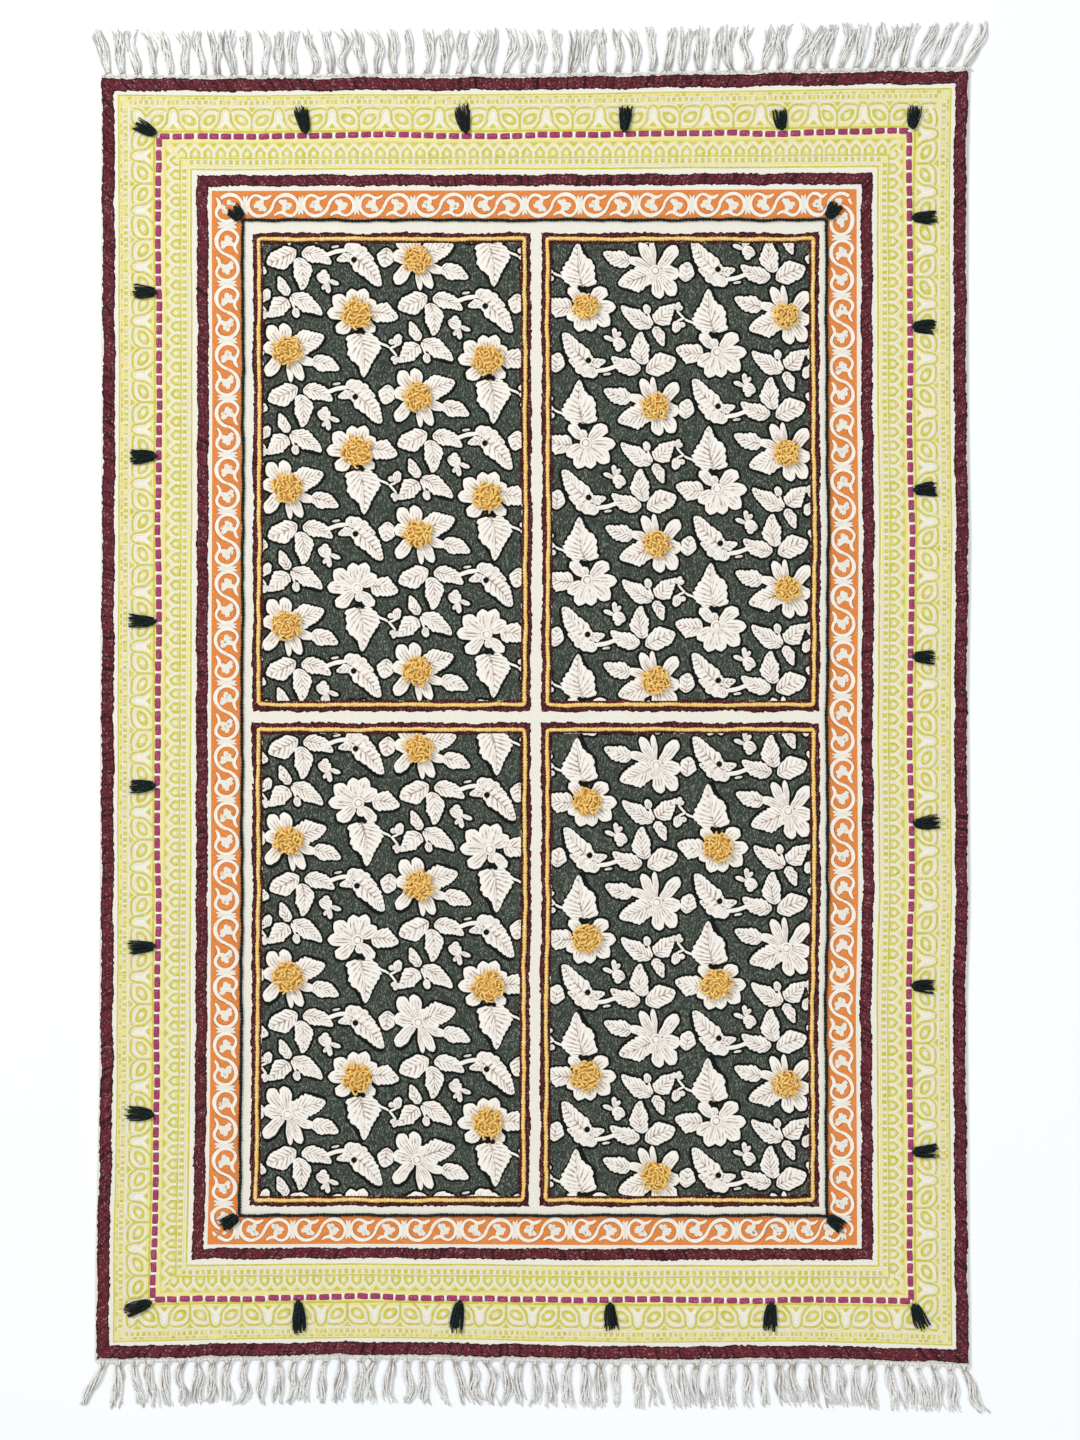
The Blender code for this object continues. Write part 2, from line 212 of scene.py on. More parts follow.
# Half a unit of the scroll on the orange band, from its middle; the other half is the same turned
# half round. Points are (along, out, width)
SCROLL = (
    ((0, 0, 3.4), (-2.8, -7.0, 3.6), (-9.8, -13.4, 4.2), (-18.3, -15.9, 4.7), (-26.0, -14.3, 4.7),
     (-32.3, -9.3, 4.3), (-35.6, -2.1, 4.0), (-34.8, 5.6, 3.7), (-31.2, 12.0, 3.5), (-25.3, 15.6, 3.5),
     (-19.0, 13.9, 3.8), (-13.6, 10.0, 4.2), (-7.4, 10.9, 4.0), (-2.4, 14.6, 2.2)),
    ((-14.0, 9.8, 4.4), (-16.2, 4.6, 6.4), (-18.0, 0.0, 8.4)),
    ((-17.6, 0.0, 7.0), (-23.0, -0.4, 6.6), (-26.6, -1.2, 4.4)),
    ((-18.0, 1.0, 6.0), (-21.6, 4.2, 6.0), (-23.0, 6.0, 3.8)),
    ((-17.2, -1.0, 6.6), (-16.6, -5.4, 6.0), (-18.0, -8.0, 4.0)),
    ((-17.0, 0.0, 6.0), (-12.0, -5.4, 6.0), (-9.6, -7.4, 4.2)),
    ((-39.5, 0.0, 6.4), (-38.4, 7.6, 4.2), (-36.6, 13.8, 1.6)),
    ((-39.5, 0.0, 6.4), (-40.4, 7.6, 4.0), (-42.2, 13.2, 1.6)),
)
SCROLL_RIM = 2.0        # how much wider the deeper orange rim under each white stroke is

# Embroidered pads. Half width goes as a**base * (1 - a)**tip along the length a, pinched by the nip
# before the tip. Columns: base power, tip power, nip, vein spacing in mm (0 for lengthwise grooves),
# serration, crown, then how far the veins slant at the right edge, the midrib and the left edge, as
# shares of the length
PAD_KINDS = {
    "petal": (0.78, 0.50, 0.0, 0.0, 0.0, 1.0, 0.0, 0.0, 0.0),
    "pointed": (0.86, 0.72, 0.0, 0.0, 0.0, 1.0, 0.0, 0.0, 0.0),
    "blunt": (0.62, 0.42, 0.0, 0.0, 0.0, 1.0, 0.0, 0.0, 0.0),
    "leaf": (0.52, 0.68, 0.14, 6.0, 0.06, 1.1, 0.15, -0.17, 0.17),
    "rhomb": (0.78, 0.78, 0.0, 6.4, 0.03, 1.1, 0.13, -0.15, 0.13),
    "broad": (0.33, 0.80, 0.35, 6.4, 0.06, 1.2, 0.27, -0.16, 0.04),
    "body": (0.40, 0.56, 0.12, 6.6, 0.07, 1.2, 0.30, 0.04, 0.12),
    "oval": (0.50, 0.50, 0.0, 0.0, 0.0, 0.9, 0.0, 0.0, 0.0),
    "stem": (0.12, 0.16, 0.0, 0.0, 0.0, 0.6, 0.0, 0.0, 0.0),
}
UNEVEN = 0.09           # share by which the edges of a pad swing
# the dark margin round a pad is print and painted shadow
OUTLINE_MARGIN = 2.8    # how far the dark print stands out round a pad, in mm
OUTLINE_ROWS = 9

# One repeat of the floral field, from the middle of its first flower: kind, base x and y, heading
# in degrees, length, width and sideways bow, all in mm
REPEAT_DOWN = (0.0, -191.9)
REPEAT_ACROSS = (184.1, -64.0)
FLOWER_B = (85.8, 76.5)
MOTIFS = (
    # first flower
    ("pointed", -4, 3, 142, 38, 24, 1), ("pointed", -1, 5, 101, 32, 22, 1),
    ("pointed", 1.5, 5, 73, 33, 22, -1), ("pointed", 4, 3, 34, 28, 21, 0),
    ("pointed", -5, 0, 177, 38, 22, -1), ("blunt", -4, -3, 220, 34, 20, 1),
    ("blunt", 3.5, -3.5, 314, 31, 16, -1), ("blunt", 1, -5, 284, 15, 12, 0),
    ("leaf", 19, 2, -11, 40, 29, 3), ("broad", 3, -25, -85, 65, 48, 4),
    ("stem", 30, -41, -24, 18, 3.6, 1), ("stem", 45, -48, 24, 13, 3.4, -1),
    ("stem", 44, -47, -50, 19, 3.4, 1), ("oval", 55, -46, 78, 19, 13, 0), ("petal", 53, -42, 150, 10, 8, 0),
    ("petal", 56, -60, 205, 10, 7, 0), ("petal", 56, -61, 250, 11, 7, 0), ("petal", 56, -60, 305, 11, 7, 0),
    # second flower
    ("petal", 82, 80, 127, 40, 20, 1), ("petal", 85, 81, 98, 36, 18, -1), ("petal", 88, 80, 62, 18, 13, 0),
    ("leaf", 90, 79, 20, 52, 34, 2), ("petal", 90, 74, -23, 38, 14, -1), ("leaf", 119, 64, -16, 42, 24, 2),
    ("petal", 87, 72, -61, 42, 15, 1), ("petal", 86, 72, -83, 40, 9, 0), ("blunt", 82, 73, 231, 42, 19, -2),
    ("blunt", 81, 77, 168, 31, 20, 1), ("rhomb", 44, 93, -100, 29, 24, 0),
    # sprig of three leaves with a bud
    ("leaf", -96, 27, 117, 31, 16, 1), ("leaf", -94, 27, -33, 53, 25, 3),
    ("leaf", -97, 22, 224, 36, 27, -2), ("stem", -95, 24, -65, 18, 3.6, 1),
    ("oval", -88, 11, -76, 16, 11, 0),
    # sprig of three leaves with a long stalk
    ("rhomb", -84, 91, 204, 47, 31, 2), ("leaf", -81, 81, -87, 47, 27, 4),
    ("leaf", -77, 88, -20, 46, 24, 4), ("stem", -46, 82, 13, 39, 6.5, 2),
    ("oval", -36, 94, 9, 13, 3.6, 0),
    # hooded flower with its folded leaf
    ("body", -7, 84, -48, 62, 28, 3), ("leaf", 6, 82, -20, 21, 14, 1), ("leaf", -5, 79, 187, 23, 14, -2),
    ("blunt", -7, 84, 100, 18, 16, 0), ("petal", -2, 84, 72, 17, 15, 0), ("petal", 2, 84, 30, 16, 13, 0),
    ("petal", -12, 86, 25, 18, 12, 0),
    # small bud
    ("blunt", -57, 56, -22, 22, 16, 0), ("petal", -49, 52, 62, 13, 10, 0),
    ("petal", -42, 49, -20, 20, 7, 0), ("petal", -41, 47, -84, 18, 8, 0),
    ("petal", -42, 45, 238, 12, 6, 0),
)
EYELETS = ((-2.8, 76.1, 4.2), (0.2, -25.0, 3.3), (8.2, -25.6, 3.3), (4.2, -23.6, 3.6),
           (-93.0, 27.0, 1.5))      # dark spots on the pads: x, y and radius
FLOWER_EYE = 8.2                    # radius of the stitched middle of a flower

# Panels: name, side in u and v, middle of their first flower (u, v), whether the field is turned
# half round, then the flowers that carry a tuft as (flower, repeats across, repeats down, width)
PANELS = (
    ("top_left", -1, 1, (-250.9, 564.0), False,
     (("B", 0, 0, 41), ("A", 0, 0, 45), ("B", -1, 1, 44), ("A", 1, 0, 45), ("B", 0, 1, 43), ("A", 0, 1, 46),
      ("B", -1, 2, 45), ("A", 1, 1, 43), ("B", 0, 2, 42), ("B", -1, 3, 44), ("B", 0, 3, 43))),
    ("top_right", 1, 1, (72.7, 574.8), True,
     (("A", 0, 0, 37), ("B", 2, -1, 37), ("B", 1, 0, 39), ("B", 2, 0, 38), ("B", 1, 1, 40),
      ("B", 2, 1, 38), ("B", 1, 2, 40))),
    ("bottom_left", -1, -1, (-247.9, -120.7), False,
     (("B", 0, 0, 42), ("B", -1, 1, 43), ("B", 0, 1, 44), ("B", -1, 2, 46), ("A", 1, 1, 47),
      ("A", 0, 2, 44), ("A", 1, 2, 45))),
    ("bottom_right", 1, -1, (74.1, -118.1), True,
     (("A", 0, 0, 41), ("A", 1, 0, 43), ("A", 0, 1, 42), ("A", 1, 1, 46), ("A", 0, 2, 44),
      ("B", 2, 1, 40), ("B", 1, 2, 42))),
)
REPEATS_ACROSS = range(-3, 4)       # repeats tried for each panel; those outside it are dropped
REPEATS_DOWN = range(-4, 6)

# First seed of each kind of work, so that every run makes the same rug
SEEDS = {"outer": 11, "inner": 12, "stitches": 21, "strips": 30, "yellow cords": 40, "fields": 50,
         "green cord": 61, "tufts": 70, "stitch rows": 90, "tassels": 200, "fringes": 300, "hems": 7}

# Mesh steps of the stitched bands and cords, in mm
BAND_STEP = 2.3
GREEN_STEP = 1.8
YELLOW_STEP = 2.0
CORD_SIDES = 6
GREEN_PITCH = 6.0       # one turn of the plies
YELLOW_PITCH = 9.0

# The real threads lie 1 to 1.5 mm apart, too fine to show, so the weave is drawn twice as coarse
WARP_PITCH = 2.2
WEFT_PITCH = 3.0
WAVE_SCALE = 0.314      # scale at which a wave texture repeats once a unit

# Pitches of the other patterns, in mm
DYE_CLOUD = 38.0        # broad patches of deep and weak dye
SLUB = 2.6              # thick places of the yarn
PALE_FLECK = 1.9        # single threads that took no dye
PRINT_PATCH = 21.0      # strong and weak places of a hand-pressed block
PRINT_WEAR = 2.2        # high threads that the ink has left: one warp rib
STITCH_TONE = 11.0      # patches of brighter embroidery cotton
# the breaks come in the painted shade of the grooves
GROOVE_BREAK = 6.0      # length of groove between two stitches that touch
FIBRE = 1.1             # bundles of fibres in a yarn, twice as coarse as real ones to show
FLOOR_PATCH = 900.0

# Shader values typical of cotton, and of matt paint for the floor
COTTON_IOR = 1.46
COTTON_GLOSS = 0.25
CLOTH_ROUGHNESS = 0.92
STITCH_ROUGHNESS = 0.86
YARN_ROUGHNESS = 0.85
PAINT_ROUGHNESS = 0.95

# Relief: depth in mm and strength
WEAVE_RELIEF = (0.35, 0.7)
YARN_RELIEF = (0.35, 0.6)
STITCH_RELIEF = (0.4, 0.6)

# Stage, in metres and watts
FLOOR_REACH = 60.0
SKY_COLOUR = (0.95, 0.98, 1.0, 1.0)
SKY_STRENGTH = 0.54
LAMPS = (("key", (-3.8, 3.5, 4.7), 2.3, 282.0, (1.0, 0.99, 0.97)),
         ("fill", (2.8, -2.2, 4.0), 3.2, 62.0, (0.97, 0.985, 1.0)))
LENS, SENSOR = 85.0, 36.0           # mm
VIEW_HEIGHT = 2.0178                # length of floor in the view
VIEW_MIDDLE = (0.0045, -0.0047)


# ---------------------------------------------------------------- flat coordinates to the world

def wander(table, station):
    """Shift in mm of an edge at a station in mm, read between the rows of its table."""
    stations, shifts = zip(*table)
    return np.interp(station, stations, shifts)


def bend(u, v):
    """Drawn place bent to the uneven outline: drift first, then each pair of edges is blended.

    The lean of the two ends is full at the hem and dies away towards the panels.
    """
    across = u / (2 * HALF_U) + 0.5
    along = v / (2 * HALF_V) + 0.5
    keep = 1 - np.interp(HALF_V - np.abs(v), LEAN_FADES, (0.0, 1.0))
    x = u + wander(ACROSS_DRIFT, u) + (1 - across) * wander(LEFT_EDGE, v) + across * wander(RIGHT_EDGE, v)
    ends = (1 - along) * wander(BOTTOM_EDGE, u) + along * wander(TOP_EDGE, u)
    return x, v + wander(ALONG_DRIFT, v) + keep * ends


def drawn_place(u, v):
    """The drawn place that drift carries to a measured one."""
    (stops_u, drift_u), (stops_v, drift_v) = (np.array(t, float).T for t in (ACROSS_DRIFT, ALONG_DRIFT))
    return np.interp(u, stops_u + drift_u, stops_u), np.interp(v, stops_v + drift_v, stops_v)


def outline_shift():
    """World place, in mm, of the body's middle: the box of the frame's cloth against its own outline."""
    reach_u, reach_v = HALF_U + SELVEDGE, HALF_V + SELVEDGE
    along_u = np.array([row[0] for row in TOP_EDGE + BOTTOM_EDGE], float).clip(-reach_u, reach_u)
    along_v = np.array([row[0] for row in LEFT_EDGE + RIGHT_EDGE], float).clip(-reach_v, reach_v)
    along_u = np.append(along_u, (-reach_u, reach_u))
    along_v = np.append(along_v, (-reach_v, reach_v))
    xs = np.concatenate([bend(np.full_like(along_v, side * reach_u), along_v)[0] for side in (-1, 1)])
    ys = np.concatenate([bend(along_u, np.full_like(along_u, side * reach_v))[1] for side in (-1, 1)])
    low, high = np.array(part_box("rug_cloth")) / MM
    return (low[0] + high[0] - xs.min() - xs.max()) / 2, (low[1] + high[1] - ys.min() - ys.max()) / 2


SHIFT_U, SHIFT_V = outline_shift()
CLOTH_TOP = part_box("rug_cloth")[1][2] / MM


def swell(u, v):
    """Gentle unevenness of the lying cloth, in mm: three crossed waves of hand-sized pitch."""
    wide = 0.26 * np.sin(u / 61 + 0.6 * np.sin(v / 97)) * np.sin(v / 83 + 1.1)
    return wide + 0.14 * np.sin(u / 29 + v / 41 + 0.7) + 0.08 * np.sin(v / 17 + np.sin(u / 53))


def lay(u, v, lift):
    """Flat coordinates, and a height above the cloth's face, to world metres."""
    u, v, lift = np.broadcast_arrays(np.asarray(u, float), v, lift)
    x, y = bend(u, v)
    height = CLOTH_TOP + swell(u, v) + lift
    return MM * np.stack((x + SHIFT_U, y + SHIFT_V, height), axis=-1)


def drift(station, seed, pitch):
    """A smooth uneven line of about unit size: three sines whose phases come from the seed."""
    phases = np.random.default_rng(seed).uniform(0, 2 * math.pi, 3)
    waves = (1.0, 0.6, 0.4) * np.sin(np.multiply.outer(station, (1.0, 1.73, 3.1)) / pitch + phases)
    return waves.sum(axis=-1) / 1.4


# ---------------------------------------------------------------- grids, ribbons and tubes

def grid_faces(rows, columns, wrap_rows=False, wrap_columns=False):
    """Quads of a grid of rows x columns points: (here, next column, both, next row)."""
    index = np.arange(rows * columns).reshape(rows, columns)
    if wrap_rows:
        index = np.vstack((index, index[:1]))
    if wrap_columns:
        index = np.hstack((index, index[:, :1]))
    here, beside = index[:-1, :-1], index[:-1, 1:]
    below, across = index[1:, :-1], index[1:, 1:]
    return np.stack((here, beside, across, below), axis=-1).reshape(-1, 4)


def batch_faces(count, rows, columns, **wraps):
    """grid_faces for a batch of like grids, one after another."""
    one = grid_faces(rows, columns, **wraps)
    return (one + rows * columns * np.arange(count)[:, None, None]).reshape(-1, 4)


def gathered(parts):
    """Join (points, faces, mark) parts into one set of arrays."""
    points, faces, marks, first = [], [], [], 0
    for part_points, part_faces, part_mark in parts:
        part_points = part_points.reshape(-1, 3)
        points.append(part_points)
        faces.append(part_faces + first)
        marks.append(np.broadcast_to(np.ravel(part_mark), len(part_points)))
        first += len(part_points)
    return np.concatenate(points), np.concatenate(faces), np.concatenate(marks)


def turned_up(points, faces):
    """Flip the quads of a flat-lying surface that face the floor."""
    corners = points[faces][..., :2]
    one, two = corners[:, 2] - corners[:, 0], corners[:, 3] - corners[:, 1]
    down = one[:, 0] * two[:, 1] - one[:, 1] * two[:, 0] < 0
    faces = faces.copy()
    faces[down] = faces[down][:, ::-1]
    return faces


def tubes(paths, radii, sides, up=(0.0, 0.0, 1.0), closed=False):
    """Tubes along a batch of paths: ring = centre + r (cos a * side + sin a * over).

    paths is (tubes, stations, 3) and radii spreads to (tubes, stations, sides). Open tubes end in
    a pole at each end; closed ones join their last ring to their first.
    """
    count, stations = paths.shape[:2]
    if closed:
        tangent = np.roll(paths, -1, axis=1) - np.roll(paths, 1, axis=1)
    else:
        tangent = np.gradient(paths, axis=1)
    tangent /= np.linalg.norm(tangent, axis=-1, keepdims=True)
    side = np.cross(tangent, up)
    side /= np.maximum(np.linalg.norm(side, axis=-1, keepdims=True), 1e-9)
    over = np.cross(side, tangent)
    angle = 2 * math.pi * np.arange(sides) / sides
    spoke = np.cos(angle)[:, None] * side[:, :, None] + np.sin(angle)[:, None] * over[:, :, None]
    radii = np.broadcast_to(radii, (count, stations, sides))
    rings = paths[:, :, None] + radii[..., None] * spoke
    if not closed:
        first = np.repeat(paths[:, :1, None], sides, axis=2)
        last = np.repeat(paths[:, -1:, None], sides, axis=2)
        rings = np.concatenate((first, rings, last), axis=1)
        stations += 2
    faces = batch_faces(count, stations, sides, wrap_columns=True, wrap_rows=closed)
    return rings.reshape(-1, 3), faces[:, ::-1]


def stroke_grid(route, widths, lift):
    """Ribbons along a batch of flat routes (strokes, stations, 2): half a width to either side."""
    tangent = np.gradient(route, axis=1)
    tangent /= np.maximum(np.linalg.norm(tangent, axis=-1, keepdims=True), 1e-9)
    normal = np.stack((-tangent[..., 1], tangent[..., 0]), axis=-1)
    across = np.array((-0.5, 0.5))
    grid = route[:, :, None] + across[:, None] * widths[..., None, None] * normal[:, :, None]
    height = np.full(grid.shape[:3], lift)
    return np.concatenate((grid, height[..., None]), axis=-1)


def rounded(points, closed, times):
    """Corner cutting: each corner gives way to points a quarter of the way along its edges."""
    points = np.asarray(points, float)
    for _ in range(times):
        following = np.roll(points, -1, axis=0)
        if not closed:
            ends = points[:1], points[-1:]
            points, following = points[:-1], following[:-1]
        cut = np.stack((0.75 * points + 0.25 * following, 0.25 * points + 0.75 * following), axis=1)
        points = cut.reshape(-1, points.shape[1])
        if not closed:
            points = np.concatenate((ends[0], points[1:-1], ends[1]))
    return np.concatenate((points, points[:1])) if closed else points


# ---------------------------------------------------------------- routes round a rectangle

def round_stations(half_u, half_v, step):
    """Side numbers and fractions (-1 to 1) of stations clockwise round a rectangle, about a step apart."""
    sides, fractions = [], []
    for side in range(4):
        count = 2 * max(2, round((half_u, half_v)[side % 2] / step))
        sides.append(np.full(count, side))
        fractions.append(-1 + 2 * np.arange(count) / count)
    return np.concatenate(sides), np.concatenate(fractions)


def round_point(side, along, inset, half_u, half_v, middle=(0.0, 0.0), scaled=True):
    """Flat place at an inset on a side. along is a fraction of the side, or mm if not scaled."""
    reach_u, reach_v = half_u - inset, half_v - inset
    along_u = along * reach_u if scaled else along
    along_v = along * reach_v if scaled else along
    u = np.select([side == 0, side == 1, side == 2], [along_u, reach_u, -along_u], -reach_u)
    v = np.select([side == 0, side == 1, side == 2], [reach_v, -along_v, -reach_v], along_v)
    return u + middle[0], v + middle[1]


def stitched_band(half_u, half_v, band, ribs, height, seed, middle=(0.0, 0.0), tooth=0.9):
    """A raised band of rows of chain stitch with ragged edges, mitred at its corners.

    Across the band the height is |sin| over the ribs; along it each stitch swells, and every
    second station the edges step in or out. The tone is painted shade: 0 down between the rows
    and at the edges and lower between stitches, with random hatch and patches of yarn tone.
    """
    side, fraction = round_stations(half_u, half_v, BAND_STEP)
    random = np.random.default_rng(seed)
    count, columns = len(side), 3 * ribs + 1
    across = np.linspace(0, 1, columns)
    breadth = band[1] - band[0]
    swell_row = np.abs(np.sin(across * ribs * math.pi)) ** 0.7
    phase = np.arange(count)[:, None] * math.pi * 0.62 + random.uniform(-0.5, 0.5, (1, columns))
    stitch = 0.82 + 0.18 * np.cos(phase) + random.normal(0, 0.06, (count, columns))
    lift = height * (0.45 + 0.55 * swell_row) * stitch
    lift[:, (0, -1)] = -0.05
    edge = np.repeat(tooth * random.uniform(-1, 1, (count // 2, 2)), 2, axis=0)
    edge = edge + random.normal(0, 0.3, (count, 2))
    slow = 0.9 * drift(np.arange(count) * BAND_STEP, seed, 23.0)
    inset = band[0] + breadth * across[None, :] + slow[:, None]
    inset[:, (0, -1)] += edge
    u, v = round_point(side[:, None], fraction[:, None], inset, half_u, half_v, middle)
    # painted shade: from_edge darkens the ragged edges, swell_row the gaps between rows and cos(phase) the
    # gaps between stitches; hatch and patches are random tone of the yarn
    from_edge = ((np.minimum(across, 1 - across) * breadth - 0.9) / 2.6).clip(0, 1)
    hatch = random.normal(0, 0.40, (count, 1))
    patches = np.repeat(random.normal(0, 0.26, (count // 2, columns)), 2, axis=0)
    tone = from_edge * (0.55 + 0.30 * swell_row + 0.12 * np.cos(phase) + hatch + patches)
    return lay(u, v, lift), grid_faces(count, columns, wrap_rows=True), tone


def couched_cord(half_u, half_v, inset, radius, pitch, step, seed, middle=(0.0, 0.0)):
    """A two-ply cord laid round a rectangle and sewn down.

    Its radius is r (1 + 0.26 cos 2(a - 2 pi s / pitch)) at angle a and distance s, pinched where
    each couching stitch holds it. The route sways a little and its corners are smoothed.
    """
    side, fraction = round_stations(half_u - inset, half_v - inset, step)
    station = np.arange(len(side)) * step
    sway = 0.6 * drift(station, seed, 31.0) + 0.45 * drift(station, seed + 7, 9.0)
    u, v = round_point(side, fraction, inset + sway, half_u, half_v, middle)
    for _ in range(3):
        u = (np.roll(u, 1) + 2 * u + np.roll(u, -1)) / 4
        v = (np.roll(v, 1) + 2 * v + np.roll(v, -1)) / 4
    angle = 2 * math.pi * np.arange(CORD_SIDES) / CORD_SIDES
    ply = 1 + 0.26 * np.cos(2 * (angle - 2 * math.pi * station[:, None] / pitch))
    pinch = 1 - 0.16 * np.cos(2 * math.pi * station[:, None] / (2.6 * pitch)) ** 8
    thickness = 1 + 0.08 * (drift(station, seed + 1, 13.0) + drift(station, seed + 2, 2.6))[:, None]
    radii = MM * radius * ply * pinch * thickness
    return tubes(lay(u, v, 0.8 * radius)[None], radii[None], CORD_SIDES, closed=True)


# ---------------------------------------------------------------- meshes and materials

def linear(code):
    """An sRGB hex colour as linear red, green and blue."""
    values = (int(code[i:i + 2], 16) / 255 for i in (1, 3, 5))
    return tuple(c / 12.92 if c <= 0.04045 else ((c + 0.055) / 1.055) ** 2.4 for c in values)


def points_of(mesh):
    """A mesh's points as rows of x, y and z."""
    points = np.empty(3 * len(mesh.vertices), np.float32)
    mesh.vertices.foreach_get("co", points)
    return points.reshape(-1, 3).astype(float)


def make_piece(name, points, faces, finishes, regions=None, mark=None, weld=False):
    """A mesh object of quads at the origin, with a float mark on its points for the finish."""
    mesh = bpy.data.meshes.new(name)
    mesh.vertices.add(len(points))
    mesh.vertices.foreach_set("co", np.ascontiguousarray(points, np.float32).ravel())
    mesh.loops.add(faces.size)
    mesh.loops.foreach_set("vertex_index", np.ascontiguousarray(faces, np.int32).ravel())
    mesh.polygons.add(len(faces))
    mesh.polygons.foreach_set("loop_start", np.arange(0, faces.size, 4, dtype=np.int32))
    if regions is not None:
        mesh.polygons.foreach_set("material_index", regions.astype(np.int32))
    mesh.update(calc_edges=True)
    if mark is not None:
        layer = mesh.attributes.new("mark", "FLOAT", "POINT")
        layer.data.foreach_set("value", np.ascontiguousarray(mark, np.float32).ravel())
    for finish in finishes:
        mesh.materials.append(finish)
    if weld:
        bm = bmesh.new()
        bm.from_mesh(mesh)
        bmesh.ops.remove_doubles(bm, verts=bm.verts, dist=WELD)
        bmesh.ops.dissolve_degenerate(bm, dist=WELD / 2, edges=bm.edges)
        bm.to_mesh(mesh)
        bm.free()
    mesh.shade_smooth()
    piece = bpy.data.objects.new(name, mesh)
    bpy.context.collection.objects.link(piece)
    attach(piece, "root")
    return piece


def mid(one, two, share):
    """A colour part of the way from one to another."""
    return tuple((1 - share) * a + share * b for a, b in zip(one, two))


def add_node(tree, kind, inputs=None, output=0, **settings):
    """Add a node and give back one of its outputs.

    Each input takes a number, a colour or another node's output; settings are the node's own.
    """
    made = tree.nodes.new(kind)
    for name, value in settings.items():
        setattr(made, name, value)
    for key, value in (inputs or {}).items():
        socket = made.inputs[key]
        if isinstance(value, bpy.types.NodeSocket):
            tree.links.new(value, socket)
        else:
            socket.default_value = (*value, 1.0) if socket.type == "RGBA" else value
    return made.outputs[output]


def start_finish(name, roughness, sheen, nap=(1.0, 1.0, 1.0)):
    """A matt shader and its coordinates in millimetres. The sheen is the nap of the fibres."""
    finish = bpy.data.materials.new(name)
    finish.use_nodes = True
    tree = finish.node_tree
    shader = tree.nodes["Principled BSDF"]
    for socket, value in (("Roughness", roughness), ("IOR", COTTON_IOR),
                          ("Specular IOR Level", COTTON_GLOSS),
                          ("Sheen Weight", sheen), ("Sheen Roughness", 0.6), ("Sheen Tint", (*nap, 1.0))):
        shader.inputs[socket].default_value = value
    place = add_node(tree, "ShaderNodeTexCoord", output="Object")
    vector = add_node(tree, "ShaderNodeVectorMath", {0: place, "Scale": 1 / MM}, operation="SCALE")
    return finish, tree, shader, vector


def end_finish(tree, shader, colour, relief, depth, strength):
    """Give a shader its colour, and a relief whose height from 0 to 1 stands for a depth in mm."""
    normal = add_node(tree, "ShaderNodeBump",
                      {"Height": relief, "Strength": strength, "Distance": depth * MM})
    tree.links.new(colour, shader.inputs["Base Color"])
    tree.links.new(normal, shader.inputs["Normal"])


def mottle(tree, vector, pitch, low=0.0, high=1.0, stretch=(1.0, 1.0, 1.0), detail=2.0):
    """Uneven patches of a pitch in mm: noise, with the part from low to high drawn out to 0 to 1.

    The patches are longer along an axis whose stretch is above one.
    """
    scale = tuple(1 / (pitch * factor) for factor in stretch)
    moved = add_node(tree, "ShaderNodeMapping", {"Vector": vector, "Scale": scale})
    grain = add_node(tree, "ShaderNodeTexNoise",
                     {"Vector": moved, "Scale": 1.0, "Detail": detail, "Roughness": 0.6}, "Fac")
    return add_node(tree, "ShaderNodeMapRange", {"Value": grain, "From Min": low, "From Max": high})


def weave(tree, vector):
    """Plain weave height: warp and weft ribs, over and under each other by turns."""
    ribs = [add_node(tree, "ShaderNodeTexWave",
                     {"Vector": vector, "Scale": WAVE_SCALE / pitch, "Distortion": 0.6, "Detail": 1.0,
                      "Detail Scale": 2.0}, "Fac", bands_direction=direction)
            for direction, pitch in (("X", WARP_PITCH), ("Y", WEFT_PITCH))]
    return add_node(tree, "ShaderNodeMath", {0: ribs[0], 1: ribs[1]}, operation="MULTIPLY")


def cloth_finish(name, base, shade, fleck, fleck_share, streak=(1.0, 1.0, 1.0)):
    """Flat-woven cotton, dyed or printed: weft ribs, slubs that take the dye unevenly, flecks."""
    finish, tree, shader, vector = start_finish(name, CLOTH_ROUGHNESS, 0.08, base)
    slub = mottle(tree, vector, SLUB, 0.36, 0.66, streak, 3.0)
    cloud = mottle(tree, vector, DYE_CLOUD, 0.35, 0.68)
    cloud = add_node(tree, "ShaderNodeMixRGB", {"Fac": 0.35, "Color1": BLACK, "Color2": cloud})
    flecks = mottle(tree, vector, PALE_FLECK, fleck_share, fleck_share + 0.1, streak, 1.0)
    colour = shade
    for share, over in ((slub, base), (cloud, shade), (flecks, fleck)):
        colour = add_node(tree, "ShaderNodeMixRGB", {"Fac": share, "Color1": colour, "Color2": over})
    end_finish(tree, shader, colour, weave(tree, vector), *WEAVE_RELIEF)
    return finish


def print_finish(name, base, faded, ground):
    """Block print on cotton: ink that sinks in unevenly and wears off the high threads."""
    finish, tree, shader, vector = start_finish(name, CLOTH_ROUGHNESS, 0.1)
    patchy = mottle(tree, vector, PRINT_PATCH, 0.3, 0.7)
    worn = mottle(tree, vector, PRINT_WEAR, 0.52, 0.72)
    colour = faded
    for share, over in ((patchy, base), (worn, ground)):
        colour = add_node(tree, "ShaderNodeMixRGB", {"Fac": share, "Color1": colour, "Color2": over})
    end_finish(tree, shader, colour, weave(tree, vector), *WEAVE_RELIEF)
    return finish


